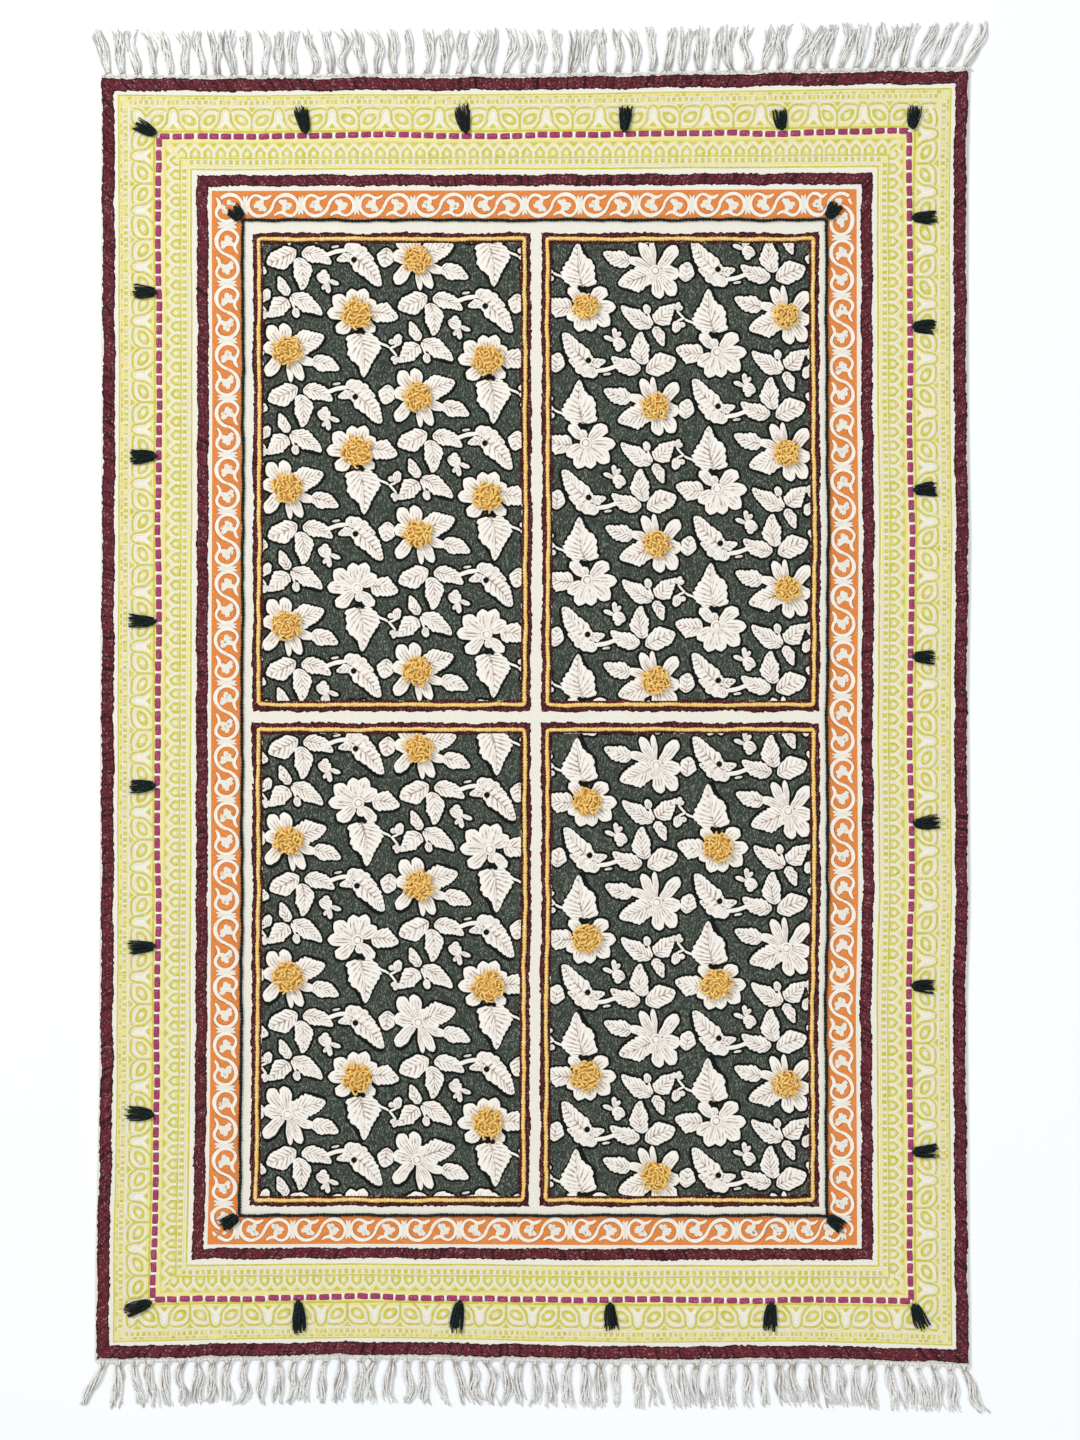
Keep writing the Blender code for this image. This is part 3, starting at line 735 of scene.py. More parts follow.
def stitch_finish(name, base, groove_shade, pitch):
    """Filling stitches in soft cotton: painted shade darkens the grooves between rows, as the mark says."""
    finish, tree, shader, vector = start_finish(name, STITCH_ROUGHNESS, 0.2)
    mark = add_node(tree, "ShaderNodeAttribute", output="Fac", attribute_name="mark")
    # painted shade: the groove_shade colour where the mark is high, broken by uneven gaps
    line = add_node(tree, "ShaderNodeMapRange", {"Value": mark, "From Min": 0.20, "From Max": 0.85})
    uneven = mottle(tree, vector, GROOVE_BREAK, 0.3, 0.6)
    line = add_node(tree, "ShaderNodeMath", {0: line, 1: uneven}, operation="MULTIPLY")
    tone = mottle(tree, vector, STITCH_TONE, 0.3, 0.7)
    colour = mid(base, groove_shade, 0.1)
    for share, over in ((tone, base), (line, groove_shade)):
        colour = add_node(tree, "ShaderNodeMixRGB", {"Fac": share, "Color1": colour, "Color2": over})
    end_finish(tree, shader, colour, mottle(tree, vector, pitch), *STITCH_RELIEF)
    return finish


def yarn_finish(name, base, shade, glint, pitch, sheen=0.3, low=None, high=None, deep=None, glints=0.62):
    """Soft spun cotton yarn: strands a little lighter and darker, with pale flecks of painted glint.

    With a deep colour, which is painted shade, the mesh's mark, from 0 to 1, leads from it to the colour of
    the strands.
    With a low and a high level, in mm above the floor, painted shade covers the low parts and gives way to
    the strands between.
    """
    finish, tree, shader, vector = start_finish(name, YARN_ROUGHNESS, sheen, glint)
    strand = mottle(tree, vector, pitch, 0.34, 0.66, detail=3.0)
    # pale flecks of painted glint: a highlight in the glint colour where the noise is high
    flecks = mottle(tree, vector, pitch * 0.7, glints, glints + 0.10, detail=1.0)
    colour = shade
    for share, over in ((strand, base), (flecks, glint)):
        colour = add_node(tree, "ShaderNodeMixRGB", {"Fac": share, "Color1": colour, "Color2": over})
    # painted shade: the deep colour where the mark is low
    if deep is not None:
        mark = add_node(tree, "ShaderNodeAttribute", output="Fac", attribute_name="mark")
        share = add_node(tree, "ShaderNodeMapRange", {"Value": mark, "From Max": 0.8})
        colour = add_node(tree, "ShaderNodeMixRGB", {"Fac": share, "Color1": deep, "Color2": colour})
    # painted shade by height: the shade colour low down, the strands' own colour up high
    if low is not None:
        level = add_node(tree, "ShaderNodeSeparateXYZ", {0: vector}, "Z")
        share = add_node(tree, "ShaderNodeMapRange", {"Value": level, "From Min": low, "From Max": high})
        colour = add_node(tree, "ShaderNodeMixRGB", {"Fac": share, "Color1": shade, "Color2": colour})
    end_finish(tree, shader, colour, mottle(tree, vector, FIBRE), *YARN_RELIEF)
    return finish


def maroon_yarn(name, base, shade, colours):
    """Maroon cotton in chain stitch: painted shade between the rows and at the edges, and pale flecks of
    painted glint.
    """
    # painted shade: the deep colour, near black, where the band's mark is low; the glint colour is a
    # painted highlight
    return yarn_finish(name, base, mid(base, shade, 0.5), mid(base, colours.white, 0.25), 3.2, sheen=0.15,
                       deep=mid(shade, BLACK, 0.4), glints=0.61)


def forest_yarn(colours):
    """Dark green cotton yarn, for cord and tassels: nearly black in its darker strands, with a faint nap
    and pale flecks of painted glint.
    """
    name = "dark green yarn"
    return bpy.data.materials.get(name) or yarn_finish(
        name, colours.forest, mid(colours.forest, BLACK, 0.6),
        mid(colours.forest, colours.field_fleck, 0.35), 2.4, sheen=0.08)


def colour_property(label, note, code):
    """A colour the user may change, from its sRGB hex value."""
    return FloatVectorProperty(name=label, description=note, default=linear(code), subtype="COLOR",
                               min=0.0, max=1.0)


class RugColours(bpy.types.PropertyGroup):
    """Colours of the cloth, the prints and the yarns."""
    cream: colour_property("Cream cloth", "Undyed woven cotton", "#F3F0E4")
    cream_shade: colour_property("Cream shade", "Undyed cotton between its slubs", "#E9E5D8")
    lime_ground: colour_property("Pale ground", "Washed ground of the printed border", "#E9E0C6")
    lime_tint: colour_property("Yellow tint", "Tinted ground of the printed rows", "#EDE39A")
    lime_wash: colour_property("Pale wash", "Dye that bled round the printed lines", "#EBE096")
    lime: colour_property("Lime print", "Lines of the printed border", "#C4BE2F")
    lime_faded: colour_property("Faded print", "Printed lines where the ink is thin", "#D5CE58")
    orange: colour_property("Orange ground", "Ground of the scroll border", "#EE9450")
    orange_shade: colour_property("Orange shade", "Scroll border where the dye is deep", "#DB7F3A")
    leaf_wash: colour_property("Pale leaf", "Leaves and knots of the scroll", "#EDE6D8")
    orange_faded: colour_property("Orange wash", "Scroll where the orange dye has crept in", "#F3D3B0")
    field: colour_property("Green field", "Ground of the floral panels", "#424A41")
    field_shade: colour_property("Green shade", "Ground of the panels where the dye is deep", "#2E3530")
    field_fleck: colour_property("Green fleck", "Slubs that took little dye", "#7A7F74")
    # outline: dark print round each motif and painted shadow round its raised pad
    outline: colour_property("Outline", "Dark print round each motif", "#0C0F0D")
    maroon: colour_property("Maroon yarn", "Stitched bands", "#6D2331")
    maroon_shade: colour_property("Deep maroon", "Shade between the maroon stitches", "#3A1019")
    maroon_thin: colour_property("Dark maroon yarn", "Strips round the panels", "#5C1822")
    magenta: colour_property("Magenta yarn", "Running stitch", "#B04072")
    white: colour_property("White yarn", "Embroidery and scroll", "#F8F3EA")
    pad: colour_property("Off-white yarn", "Filling stitches of the motifs", "#FAF5EC")
    groove_shade: colour_property("Groove", "Shade between rows of embroidery", "#937668")
    amber: colour_property("Yellow yarn", "Couched cords", "#FFD870")
    gold: colour_property("Tuft yarn", "Looped tufts", "#FFE28A")
    gold_shade: colour_property("Deep tuft", "Shade down between the loops", "#E3A544")
    forest: colour_property("Dark green yarn", "Tassels and the cord round the panels", "#122223")
    warp: colour_property("Warp yarn", "Fringe of undyed warps", "#FBFAF7")
    warp_shade: colour_property("Warp shade", "Fringe between its strands and at the knots", "#91877B")
    floor: colour_property("Floor", "Plain pale floor", "#FDFEFE")


class RugSizes(bpy.types.PropertyGroup):
    """Sizes of the surface work."""
    cloth_cell: FloatProperty(name="Cloth cell", description="Largest face of the cloth's mesh",
                              default=20.0 * MM, unit="LENGTH")
    band_height: FloatProperty(name="Band height", description="Height of the stitched maroon bands",
                               default=0.9 * MM, unit="LENGTH")
    stitch_length: FloatProperty(name="Stitch", description="Length of one running stitch",
                                 default=14.9 * MM, unit="LENGTH")
    stitch_gap: FloatProperty(name="Gap", description="Cloth between two running stitches",
                              default=2.7 * MM, unit="LENGTH")
    stitch_width: FloatProperty(name="Stitch width", description="Width of the running stitch",
                                default=8.4 * MM, unit="LENGTH")
    tuft_height: FloatProperty(name="Tuft height", description="Height of the looped tufts",
                               default=8.5 * MM, unit="LENGTH")
    tuft_loops: IntProperty(name="Loops", description="Yarn loops in one tuft", default=50)
    tassel_strands: IntProperty(name="Tassel strands", description="Strands in one tassel", default=25)
    fringe_strands: IntProperty(name="Fringe strands", description="Strands in one bunch", default=8)


# ---------------------------------------------------------------- the pieces

def inset_of(u, v):
    """Distance in mm in from the nearest edge of the true rectangle."""
    return np.minimum(HALF_U - np.abs(u), HALF_V - np.abs(v))


def mesh_lines(half, cell):
    """Grid lines across the cloth that fall on every edge between two grounds."""
    field = half - PANEL_INSET - FIELD_INSET
    cross = CROSS_HALF + FIELD_INSET
    insets = (*YELLOW_ZONE, *ORANGE_ZONE, *(inset for band in TINTED for inset in band))
    stops = [half + SELVEDGE, *(half - inset for inset in insets), field, cross]
    stops = np.sort(np.concatenate((stops, np.negative(stops))))
    runs = [np.linspace(a, b, max(1, math.ceil((b - a) / cell)), endpoint=False)
            for a, b in zip(stops, stops[1:])]
    return np.concatenate((*runs, stops[-1:]))


def make_cloth(colours, sizes):
    """The woven sheet: a face that swells gently, a flat underside and the rim between them."""
    cell = sizes.cloth_cell / MM
    u, v = np.meshgrid(mesh_lines(HALF_U, cell), mesh_lines(HALF_V, cell))
    rows, columns = u.shape
    face = lay(u, v, 0.0)
    under = face.copy()
    under[..., 2] = 0.0
    top = grid_faces(rows, columns)
    edge = np.arange(rows * columns).reshape(rows, columns)
    rim = np.concatenate((edge[0, :-1], edge[:-1, -1], edge[-1, :0:-1], edge[:0:-1, 0]))
    ahead = np.roll(rim, -1)
    below = rows * columns
    sides = np.stack((rim, rim + below, ahead + below, ahead), axis=-1)
    faces = np.concatenate((top, top[:, ::-1] + below, sides))
    middle_u = (u[:-1, :-1] + u[1:, 1:]).ravel() / 2
    middle_v = (v[:-1, :-1] + v[1:, 1:]).ravel() / 2
    inset = inset_of(middle_u, middle_v)
    cross = np.minimum(np.abs(middle_u), np.abs(middle_v))
    tinted = np.any([(inset > low) & (inset < high) for low, high in TINTED], axis=0)
    ground = np.select([(inset > YELLOW_ZONE[0]) & (inset < YELLOW_ZONE[1]) & ~tinted,
                        (inset > ORANGE_ZONE[0]) & (inset < ORANGE_ZONE[1]),
                        (inset > PANEL_INSET + FIELD_INSET) & (cross > CROSS_HALF + FIELD_INSET)],
                       [1, 2, 3], np.where(tinted, 4, 0))
    regions = np.zeros(len(faces), int)
    regions[:len(top)] = ground
    finishes = (
        cloth_finish("woven cotton, undyed", colours.cream, colours.cream_shade, colours.white, 0.66),
        cloth_finish("woven cotton, pale wash", colours.lime_ground, colours.cream, colours.white, 0.62),
        cloth_finish("woven cotton, orange dye", colours.orange, colours.orange_shade,
                     colours.lime_ground, 0.70),
        cloth_finish("woven cotton, green dye", colours.field, colours.field_shade, colours.field_fleck,
                     0.55, (0.8, 1.8, 1.0)),
        cloth_finish("woven cotton, yellow tint", colours.lime_tint,
                     mid(colours.lime_tint, colours.lime_wash, 0.6), colours.cream, 0.62),
    )
    points = np.concatenate((face.reshape(-1, 3), under.reshape(-1, 3)))
    piece = make_piece("woven_cloth", points, faces, finishes, regions)
    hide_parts("rug_cloth")


def make_bands(colours, sizes):
    """The outer and inner maroon bands, in three rows of stitches each."""
    height = sizes.band_height / MM
    finish = maroon_yarn("maroon stitched yarn", colours.maroon, colours.maroon_shade, colours)
    for name, band in (("outer", OUTER_BAND), ("inner", INNER_BAND)):
        # the tone mark paints shade between the rows and stitches and at the band's edges
        points, faces, tone = stitched_band(HALF_U, HALF_V, band, 3, height, SEEDS[name])
        piece = make_piece(f"maroon_band_{name}", points.reshape(-1, 3), faces, [finish], mark=tone)


def repeat_strokes(table, pitches, drawn, begins, base):
    """Strokes of a border repeat on all four sides, stepped at that side's pitch, cut at the mitre.

    Each row is (layer, closes, points), its points (along, out from the base line, width). Corners
    of a large repeat are cut twice, those of a small one once.
    """
    parts = []
    cuts = 2 if drawn > 50 else 1
    for row, (layer, closed, points) in enumerate(table):
        number, lift = LAYERS[layer]
        lift += STROKE_STEP * row
        outline = rounded(points, closed, cuts) if len(points) > 2 else np.array(points, float)
        for side in range(4):
            reach, pitch, begin = (HALF_U, HALF_V)[side % 2], pitches[side], begins[side]
            steps = math.ceil((reach + abs(begin)) / pitch) + 1
            starts = begin + pitch * np.arange(-steps, steps + 1)
            along = starts[:, None] + outline[:, 0] * pitch / drawn
            inset = np.broadcast_to(base - outline[:, 1], along.shape)
            random = np.random.default_rng(1000 * side + row)
            way = 2 * math.pi * np.linspace(0, 1, len(outline))
            turns = random.uniform(0, 2 * math.pi, (3, len(starts), 1))
            shake = 0.25 * np.sin(way + turns[:2]) + random.normal(0, 0.2, (2, len(starts), 1))
            press = 1.12 + 0.13 * np.sin(2 * way + turns[2])
            route = np.stack((along + shake[0], inset + shake[1]), axis=-1)
            grid = stroke_grid(route, press * outline[:, 2], lift)
            within = np.abs(grid[..., 0]) <= reach - grid[..., 1]
            faces = batch_faces(*grid.shape[:3])
            faces = faces[within.ravel()[faces].all(axis=1)]
            u, v = round_point(np.array(side), grid[..., 0], grid[..., 1], HALF_U, HALF_V, scaled=False)
            parts.append((np.stack((u, v, grid[..., 2]), axis=-1), faces, float(number)))
    return parts


def widened(table, extra, layers):
    """The strokes of some layers again as wider ones, to be printed under them as a wash."""
    return [("wash", closed, [(along, out, width + extra) for along, out, width in points])
            for layer, closed, points in table if layer in layers]


def laid_print(name, parts, finishes):
    """One printed piece from flat parts (u, v, lift); the mark of a part is its finish number.

    Points that no face uses are left out.
    """
    flat, faces, mark = gathered(parts)
    faces = turned_up(flat, faces)
    used, faces = np.unique(faces, return_inverse=True)
    flat, mark, faces = flat[used], mark[used], faces.reshape(-1, 4)
    piece = make_piece(name, lay(*flat.T), faces, finishes, mark[faces[:, 0]])


def make_lime_print(colours):
    """The printed lattice of eyes, the arches, the pegs and the lines that part them."""
    middles = (0, LATTICE_DRAWN / 2)
    lattice = list(LATTICE)
    for layer, closed, points in LATTICE:
        if any(along not in middles for along, out, width in points):
            lattice.append((layer, closed, [(-along, out, width) for along, out, width in points]))
    lattice = widened(lattice, LIME_HALO, ("ink",)) + lattice
    arch = widened(ARCH, ARCH_HALO, ("ink",)) + list(ARCH)
    parts = repeat_strokes(lattice, LATTICE_PERIOD, LATTICE_DRAWN, LATTICE_START, LATTICE_BASE)
    parts += repeat_strokes(arch, ARCH_PERIOD, ARCH_DRAWN, ARCH_START, ARCH_BASE)
    for inset, width, layer in PRINTED_LINES:
        number, lift = LAYERS[layer]
        side, fraction = round_stations(HALF_U - inset, HALF_V - inset, LINE_STEP)
        uneven = 0.3 * drift(LINE_STEP * np.arange(len(side)), int(inset), 40.0)[:, None]
        across = inset + width * np.array((-0.5, 0.5)) + uneven
        u, v = round_point(side[:, None], fraction[:, None], across, HALF_U, HALF_V)
        flat = np.stack((u, v, np.full_like(u, lift - 0.02)), axis=-1)
        parts.append((flat, grid_faces(len(side), 2, wrap_rows=True), float(number)))
    ground, wash = colours.lime_ground, colours.lime_wash
    finishes = (print_finish("lime print, palest", wash, ground, ground),
                print_finish("lime print, faded", colours.lime_faded, wash, ground),
                print_finish("lime block print", colours.lime, colours.lime_faded, wash),
                print_finish("bare cotton", mid(colours.cream, ground, 0.7), colours.cream_shade,
                             colours.cream))
    laid_print("printed_border", parts, finishes)


def make_scroll(colours):
    """The white scroll on the orange band: S curves whose ends curl round a lobed, paler dyed leaf."""
    table = [("faded" if row else "bare", False, points) for row, points in enumerate(SCROLL)]
    table += [(layer, closed, [(-along, -out, width) for along, out, width in points])
              for layer, closed, points in table]
    rims = widened(table, SCROLL_RIM, ("faded", "bare"))
    parts = repeat_strokes(rims + table, SCROLL_PERIOD, SCROLL_DRAWN, SCROLL_START, SCROLL_MIDDLE)
    deep = mid(colours.orange_shade, colours.field_shade, 0.4)
    finishes = (print_finish("deep orange rim", deep, colours.orange_shade, colours.orange),
                print_finish("pale leaf print", colours.leaf_wash, colours.cream_shade, colours.cream),
                print_finish("white resist print", colours.white, colours.cream, colours.orange_faded))
    laid_print("scroll_border", [(flat, faces, min(mark, 2.0)) for flat, faces, mark in parts], finishes)


def half_width(kind, a, edge, number):
    """Half width of a pad along its length, from 0 to 1: a**base (1 - a)**tip over its own peak.

    It is narrowed by nip * sin(pi (a - 0.5) / 0.6)**2 past the middle, and the two edges (-1 and 1)
    swing apart by a sine whose phase goes by the motif's number.
    """
    base_power, tip_power, nip = PAD_KINDS[kind][:3]
    widest = base_power / (base_power + tip_power)
    peak = widest ** base_power * (1 - widest) ** tip_power
    a = np.clip(a, 0, 1)
    uneven = 1 + UNEVEN * np.sin(3.6 * math.pi * a + 2.4 * number + 1.3 * edge)
    pinch = 1 - nip * np.sin(math.pi * (a.clip(0.5, 1.0) - 0.5) / 0.6) ** 2
    return a ** base_power * (1 - a) ** tip_power / peak * pinch * uneven


def pad(number, kind, x, y, heading, length, width, bow, random):
    """One embroidered pad as flat points (u, v, lift), its faces and its grooves.

    On a leaf each row of stitches is a chevron: it leaves the midrib early and meets the edge
    later, by a share of the length that swells as sin(pi a). Other pads have lengthwise grooves
    that die away at the tip. The height across a pad goes as (1 - t*t)**0.55.
    """
    spacing, serration, crown, *slants = PAD_KINDS[kind][3:]
    if spacing:
        veins = max(4, round(length / spacing))
        rows = np.concatenate(((np.arange(veins)[:, None] + (0.0, 0.34, 0.70)).ravel() / veins, [1.0]))
        groove_rows = np.append(np.tile((1.0, 0.0, 0.0), veins), 0.0)
        teeth = np.append(np.tile((-1.0, 0.3, 0.8), veins), 0.0)
        across = np.array((-1.0, -0.86, -0.5, -0.14, 0.0, 0.14, 0.5, 0.86, 1.0))
        groove_columns = np.array((0.0, 0.3, 1.0, 1.0, 1.0, 1.0, 1.0, 0.3, 0.0))
        # painted shade: the groove_shade marks lay the shade colour down the veins and the midrib, where
        # the relief sinks too
        groove_shade = groove_rows[:, None] * groove_columns
        groove_shade[:, 4] = 0.9
    else:
        rows = np.linspace(0, 1, max(6, round(length / 4.2)))
        across = np.array((-1.0, -0.88, -0.60, -0.46, -0.32, 0.0, 0.32, 0.46, 0.60, 0.88, 1.0))
        groove_shade = np.zeros((len(rows), 11))
        # painted shade in the three lengthwise grooves and at the rims, where petals meet, fading towards
        # the tip
        if kind != "stem":
            groove_shade[:, (3, 5, 7)] = (1.0, 0.8, 1.0)
            groove_shade[:, (0, 10)] = 0.7
        groove_shade *= np.clip(4 * (1 - rows) - 0.5, 0, 1)[:, None]
        teeth = np.zeros(len(rows))
    swing = np.sin(math.pi * rows)[:, None]
    right, middle, left = slants
    at_edge = rows[:, None] + swing * np.where(across < 0, right, left)
    a = at_edge * np.abs(across) + (rows[:, None] + swing * middle) * (1 - np.abs(across))
    half = half_width(kind, at_edge, np.sign(across), number) * (1 + serration * teeth[:, None])
    half = half * (1 + random.normal(0, 0.025, (len(rows), 1)))
    half[[0, -1]] = 0.0
    side = 0.5 * width * half * across + 4 * bow * a * (1 - a)
    crown_shape = (1 - across ** 2).clip(0, 1) ** 0.55 * np.sqrt(half.clip(0, 1))
    lift = crown * crown_shape * (1 - 0.45 * groove_shade) - 0.08
    angle = math.radians(heading + random.normal(0, 1.0))
    u = x + length * a * math.cos(angle) - side * math.sin(angle)
    v = y + length * a * math.sin(angle) + side * math.cos(angle)
    return np.stack((u, v, lift), axis=-1), grid_faces(len(rows), len(across))[:, ::-1], groove_shade


def pad_outline_and_shadow(number, kind, x, y, heading, length, width, bow):
    """The dark shape under a pad, print and painted shadow round the raised pad: the same outline pushed
    out by a margin, lying flat.
    """
    a = 0.5 - 0.5 * np.cos(math.pi * np.linspace(0, 1, OUTLINE_ROWS))
    edges = []
    for sign in (-1.0, 1.0):
        side = sign * 0.5 * width * half_width(kind, a, sign, number)
        edge = np.stack((length * a, side + 4 * bow * a * (1 - a)), axis=-1)
        ahead = np.gradient(edge, axis=0)
        ahead /= np.linalg.norm(ahead, axis=-1, keepdims=True)
        edges.append(edge + OUTLINE_MARGIN * sign * np.stack((-ahead[:, 1], ahead[:, 0]), axis=-1))
    local = np.stack(edges, axis=1)
    angle = math.radians(heading)
    u = x + local[..., 0] * math.cos(angle) - local[..., 1] * math.sin(angle)
    v = y + local[..., 0] * math.sin(angle) + local[..., 1] * math.cos(angle)
    flat = np.stack((u, v, np.full_like(u, 0.06 + 0.002 * number)), axis=-1)
    return flat, grid_faces(OUTLINE_ROWS, 2)[:, ::-1], 0.0


def disc(x, y, radius, lift, crown, rings, sides, shade_ring=None):
    """A round pad or spot of flat points: height falls from the middle as sqrt(1 - r*r)."""
    reach = np.linspace(0, 1, rings + 1)
    angle = 2 * math.pi * np.arange(sides) / sides
    u = x + radius * reach[:, None] * np.cos(angle)
    v = y + radius * reach[:, None] * np.sin(angle)
    height = np.broadcast_to((lift + crown * np.sqrt(1 - reach ** 2))[:, None], u.shape)
    mark = np.zeros_like(u)
    # painted shade of a groove on one ring, where the relief does not sink
    if shade_ring is not None:
        mark[shade_ring] = 1.0
    faces = grid_faces(rings + 1, sides, wrap_columns=True)
    return np.stack((u, v, height), axis=-1), faces[:, ::-1], mark


def field_repeat(seed):
    """Pads, outlines and spots of one repeat of the floral field, with their finish numbers."""
    random = np.random.default_rng(seed)
    parts, regions = [], []

    def keep(part, region):
        parts.append(part)
        regions.append(np.full(len(part[1]), region))

    for number, motif in enumerate(MOTIFS):
        keep(pad_outline_and_shadow(number, *motif), 1)
        keep(pad(number, *motif, random), 0)
    for x, y in ((0.0, 0.0), FLOWER_B):
        keep(disc(x, y, FLOWER_EYE, 0.7, 0.75, 5, 14, shade_ring=3), 0)
    for x, y, radius in EYELETS:
        keep(disc(x, y, radius, 1.35, 0.1, 2, 10), 1)
    flat, faces, mark = gathered(parts)
    return flat, faces, mark, np.concatenate(regions)


def panel_box(side_u, side_v):
    """Middle and half sizes of a panel, out to the outer edge of its maroon line."""
    half_u = (HALF_U - PANEL_INSET - CROSS_HALF) / 2
    half_v = (HALF_V - PANEL_INSET - CROSS_HALF) / 2
    return (side_u * (CROSS_HALF + half_u), side_v * (CROSS_HALF + half_v)), half_u, half_v


def repeat_place(anchor, across, down):
    """Flat place of a repeat of the field; a turned field steps the same way as its neighbour."""
    return (anchor[0] + across * REPEAT_ACROSS[0] + down * REPEAT_DOWN[0],
            anchor[1] + across * REPEAT_ACROSS[1] + down * REPEAT_DOWN[1])


def clip_flat(mesh, low, high):
    """Cut a flat mesh back to a rectangle of flat coordinates."""
    bm = bmesh.new()
    bm.from_mesh(mesh)
    bmesh.ops.remove_doubles(bm, verts=bm.verts, dist=0.002)
    for axis, limit, sign in ((0, low[0], -1), (0, high[0], 1), (1, low[1], -1), (1, high[1], 1)):
        point, normal = [0.0, 0.0, 0.0], [0.0, 0.0, 0.0]
        point[axis], normal[axis] = limit, sign
        bmesh.ops.bisect_plane(bm, geom=bm.verts[:] + bm.edges[:] + bm.faces[:], dist=0.001,
                               plane_co=point, plane_no=normal, clear_outer=True)
    bm.to_mesh(mesh)
    bm.free()


def make_embroidery(colours):
    """The floral field of each panel: every repeat that reaches it, cut back at its edge."""
    finishes = (
        stitch_finish("off-white filling stitch", colours.pad, colours.groove_shade, 1.6),
        # dark print and painted shadow round each pad, also used for the dark spots
        cloth_finish("dark print and painted shadow", colours.outline, colours.outline,
                     colours.field_shade, 0.66),
    )
    for number, (name, side_u, side_v, anchor, turned, _) in enumerate(PANELS):
        middle, half_u, half_v = panel_box(side_u, side_v)
        low = np.array((middle[0] - half_u + FIELD_INSET, middle[1] - half_v + FIELD_INSET))
        high = np.array((middle[0] + half_u - FIELD_INSET, middle[1] + half_v - FIELD_INSET))
        flat, faces, mark, regions = field_repeat(SEEDS["fields"] + number)
        turn = -1.0 if turned else 1.0
        parts, all_regions = [], []
        for across in REPEATS_ACROSS:
            for down in REPEATS_DOWN:
                u0, v0 = repeat_place(anchor, across, down)
                moved = flat * (turn, turn, 1.0) + (u0, v0, 0.0)
                sway = 0.9 * np.sin(moved[:, 1] / 37 + down), 0.9 * np.sin(moved[:, 0] / 43 + across)
                moved[:, 0], moved[:, 1] = drawn_place(moved[:, 0] + sway[0], moved[:, 1] + sway[1])
                corners = moved[faces][..., :2]
                inside = ((corners > low) & (corners < high)).all(axis=2).any(axis=1)
                if inside.any():
                    parts.append((moved, faces[inside], mark))
                    all_regions.append(regions[inside])
        flat_all, faces_all, mark_all = gathered(parts)
        used, faces_all = np.unique(faces_all, return_inverse=True)
        piece = make_piece(f"embroidery_{name}", flat_all[used], faces_all.reshape(-1, 4), finishes,
                           np.concatenate(all_regions), mark_all[used])
        clip_flat(piece.data, low, high)
        placed = lay(*points_of(piece.data).T)
        piece.data.vertices.foreach_set("co", placed.astype(np.float32).ravel())
        piece.data.update()


def tuft(middle, width, height, loops, random):
    """Yarn loops on a sunflower spiral: loop k stands at r = R sqrt(k / n), turned 137.5 degrees on.

    Each loop is an arch, x = w cos t, z = h sin t, that leans outwards and is set askew.
    """
    radius = width / 2
    order = np.arange(loops) + 0.5
    reach = (radius - 3.6) * np.sqrt(order / loops)
    bearing = np.radians(137.508) * order + random.normal(0, 0.12, loops)
    bearing += random.uniform(0, 2 * math.pi)
    t = np.linspace(0.0, math.pi, 7)
    rim = reach / radius
    tall = height * (1.0 - 0.42 * rim ** 2) * random.uniform(0.82, 1.1, loops)
    half_foot = random.uniform(2.8, 5.4, loops)
    skew = bearing + math.pi / 2 + random.normal(0, 0.9, loops)
    lean = (1.0 + 3.6 * rim) * random.uniform(0.4, 1.3, loops)
    along = half_foot[:, None] * np.cos(t)
    rise = tall[:, None] * np.sin(t) ** 0.75
    out = lean[:, None] * np.sin(t)
    u = middle[0] + (reach * np.cos(bearing))[:, None] + along * np.cos(skew)[:, None]
    v = middle[1] + (reach * np.sin(bearing))[:, None] + along * np.sin(skew)[:, None]
    u = u + out * np.cos(bearing)[:, None] + random.normal(0, 0.25, u.shape)
    v = v + out * np.sin(bearing)[:, None] + random.normal(0, 0.25, v.shape)
    paths = lay(u, v, rise + 0.2)
    radii = MM * random.uniform(1.25, 1.8, loops)[:, None, None]
    across = np.stack((-np.sin(skew), np.cos(skew), np.full(loops, 0.05)), axis=-1)
    points, faces = tubes(paths, radii, 5, up=across[:, None, :])
    return points, faces, 0.0


def make_tufts(colours, sizes):
    """The looped flower centres, one joined piece for each panel."""
    height = sizes.tuft_height / MM
    # painted shade: low among the loops the shade colour, up top full gold; the pale flecks are painted
    # glints
    finish = yarn_finish("golden looped yarn", colours.gold, mid(colours.gold, colours.gold_shade, 0.9),
                         mid(colours.gold, colours.white, 0.25), 5.0, low=CLOTH_TOP - 0.1 * height,
                         high=CLOTH_TOP + 0.55 * height)
    for number, (name, _, _, anchor, turned, tufts) in enumerate(PANELS):
        random = np.random.default_rng(SEEDS["tufts"] + number)
        turn = -1.0 if turned else 1.0
        parts = []
        for flower, across, down, width in tufts:
            u0, v0 = repeat_place(anchor, across, down)
            if flower == "B":
                u0, v0 = u0 + turn * FLOWER_B[0], v0 + turn * FLOWER_B[1]
            u0, v0 = drawn_place(u0, v0)
            parts.append(tuft((u0, v0), width, height, sizes.tuft_loops, random))
            flat, faces, mark = disc(u0, v0, width / 2 - 3.2, 0.0, 0.5 * height, 4, 16)
            parts.append((lay(flat[..., 0], flat[..., 1], flat[..., 2]), faces, mark))
        points, faces, _ = gathered(parts)
        piece = make_piece(f"tufts_{name}", points, faces, [finish], weld=True)


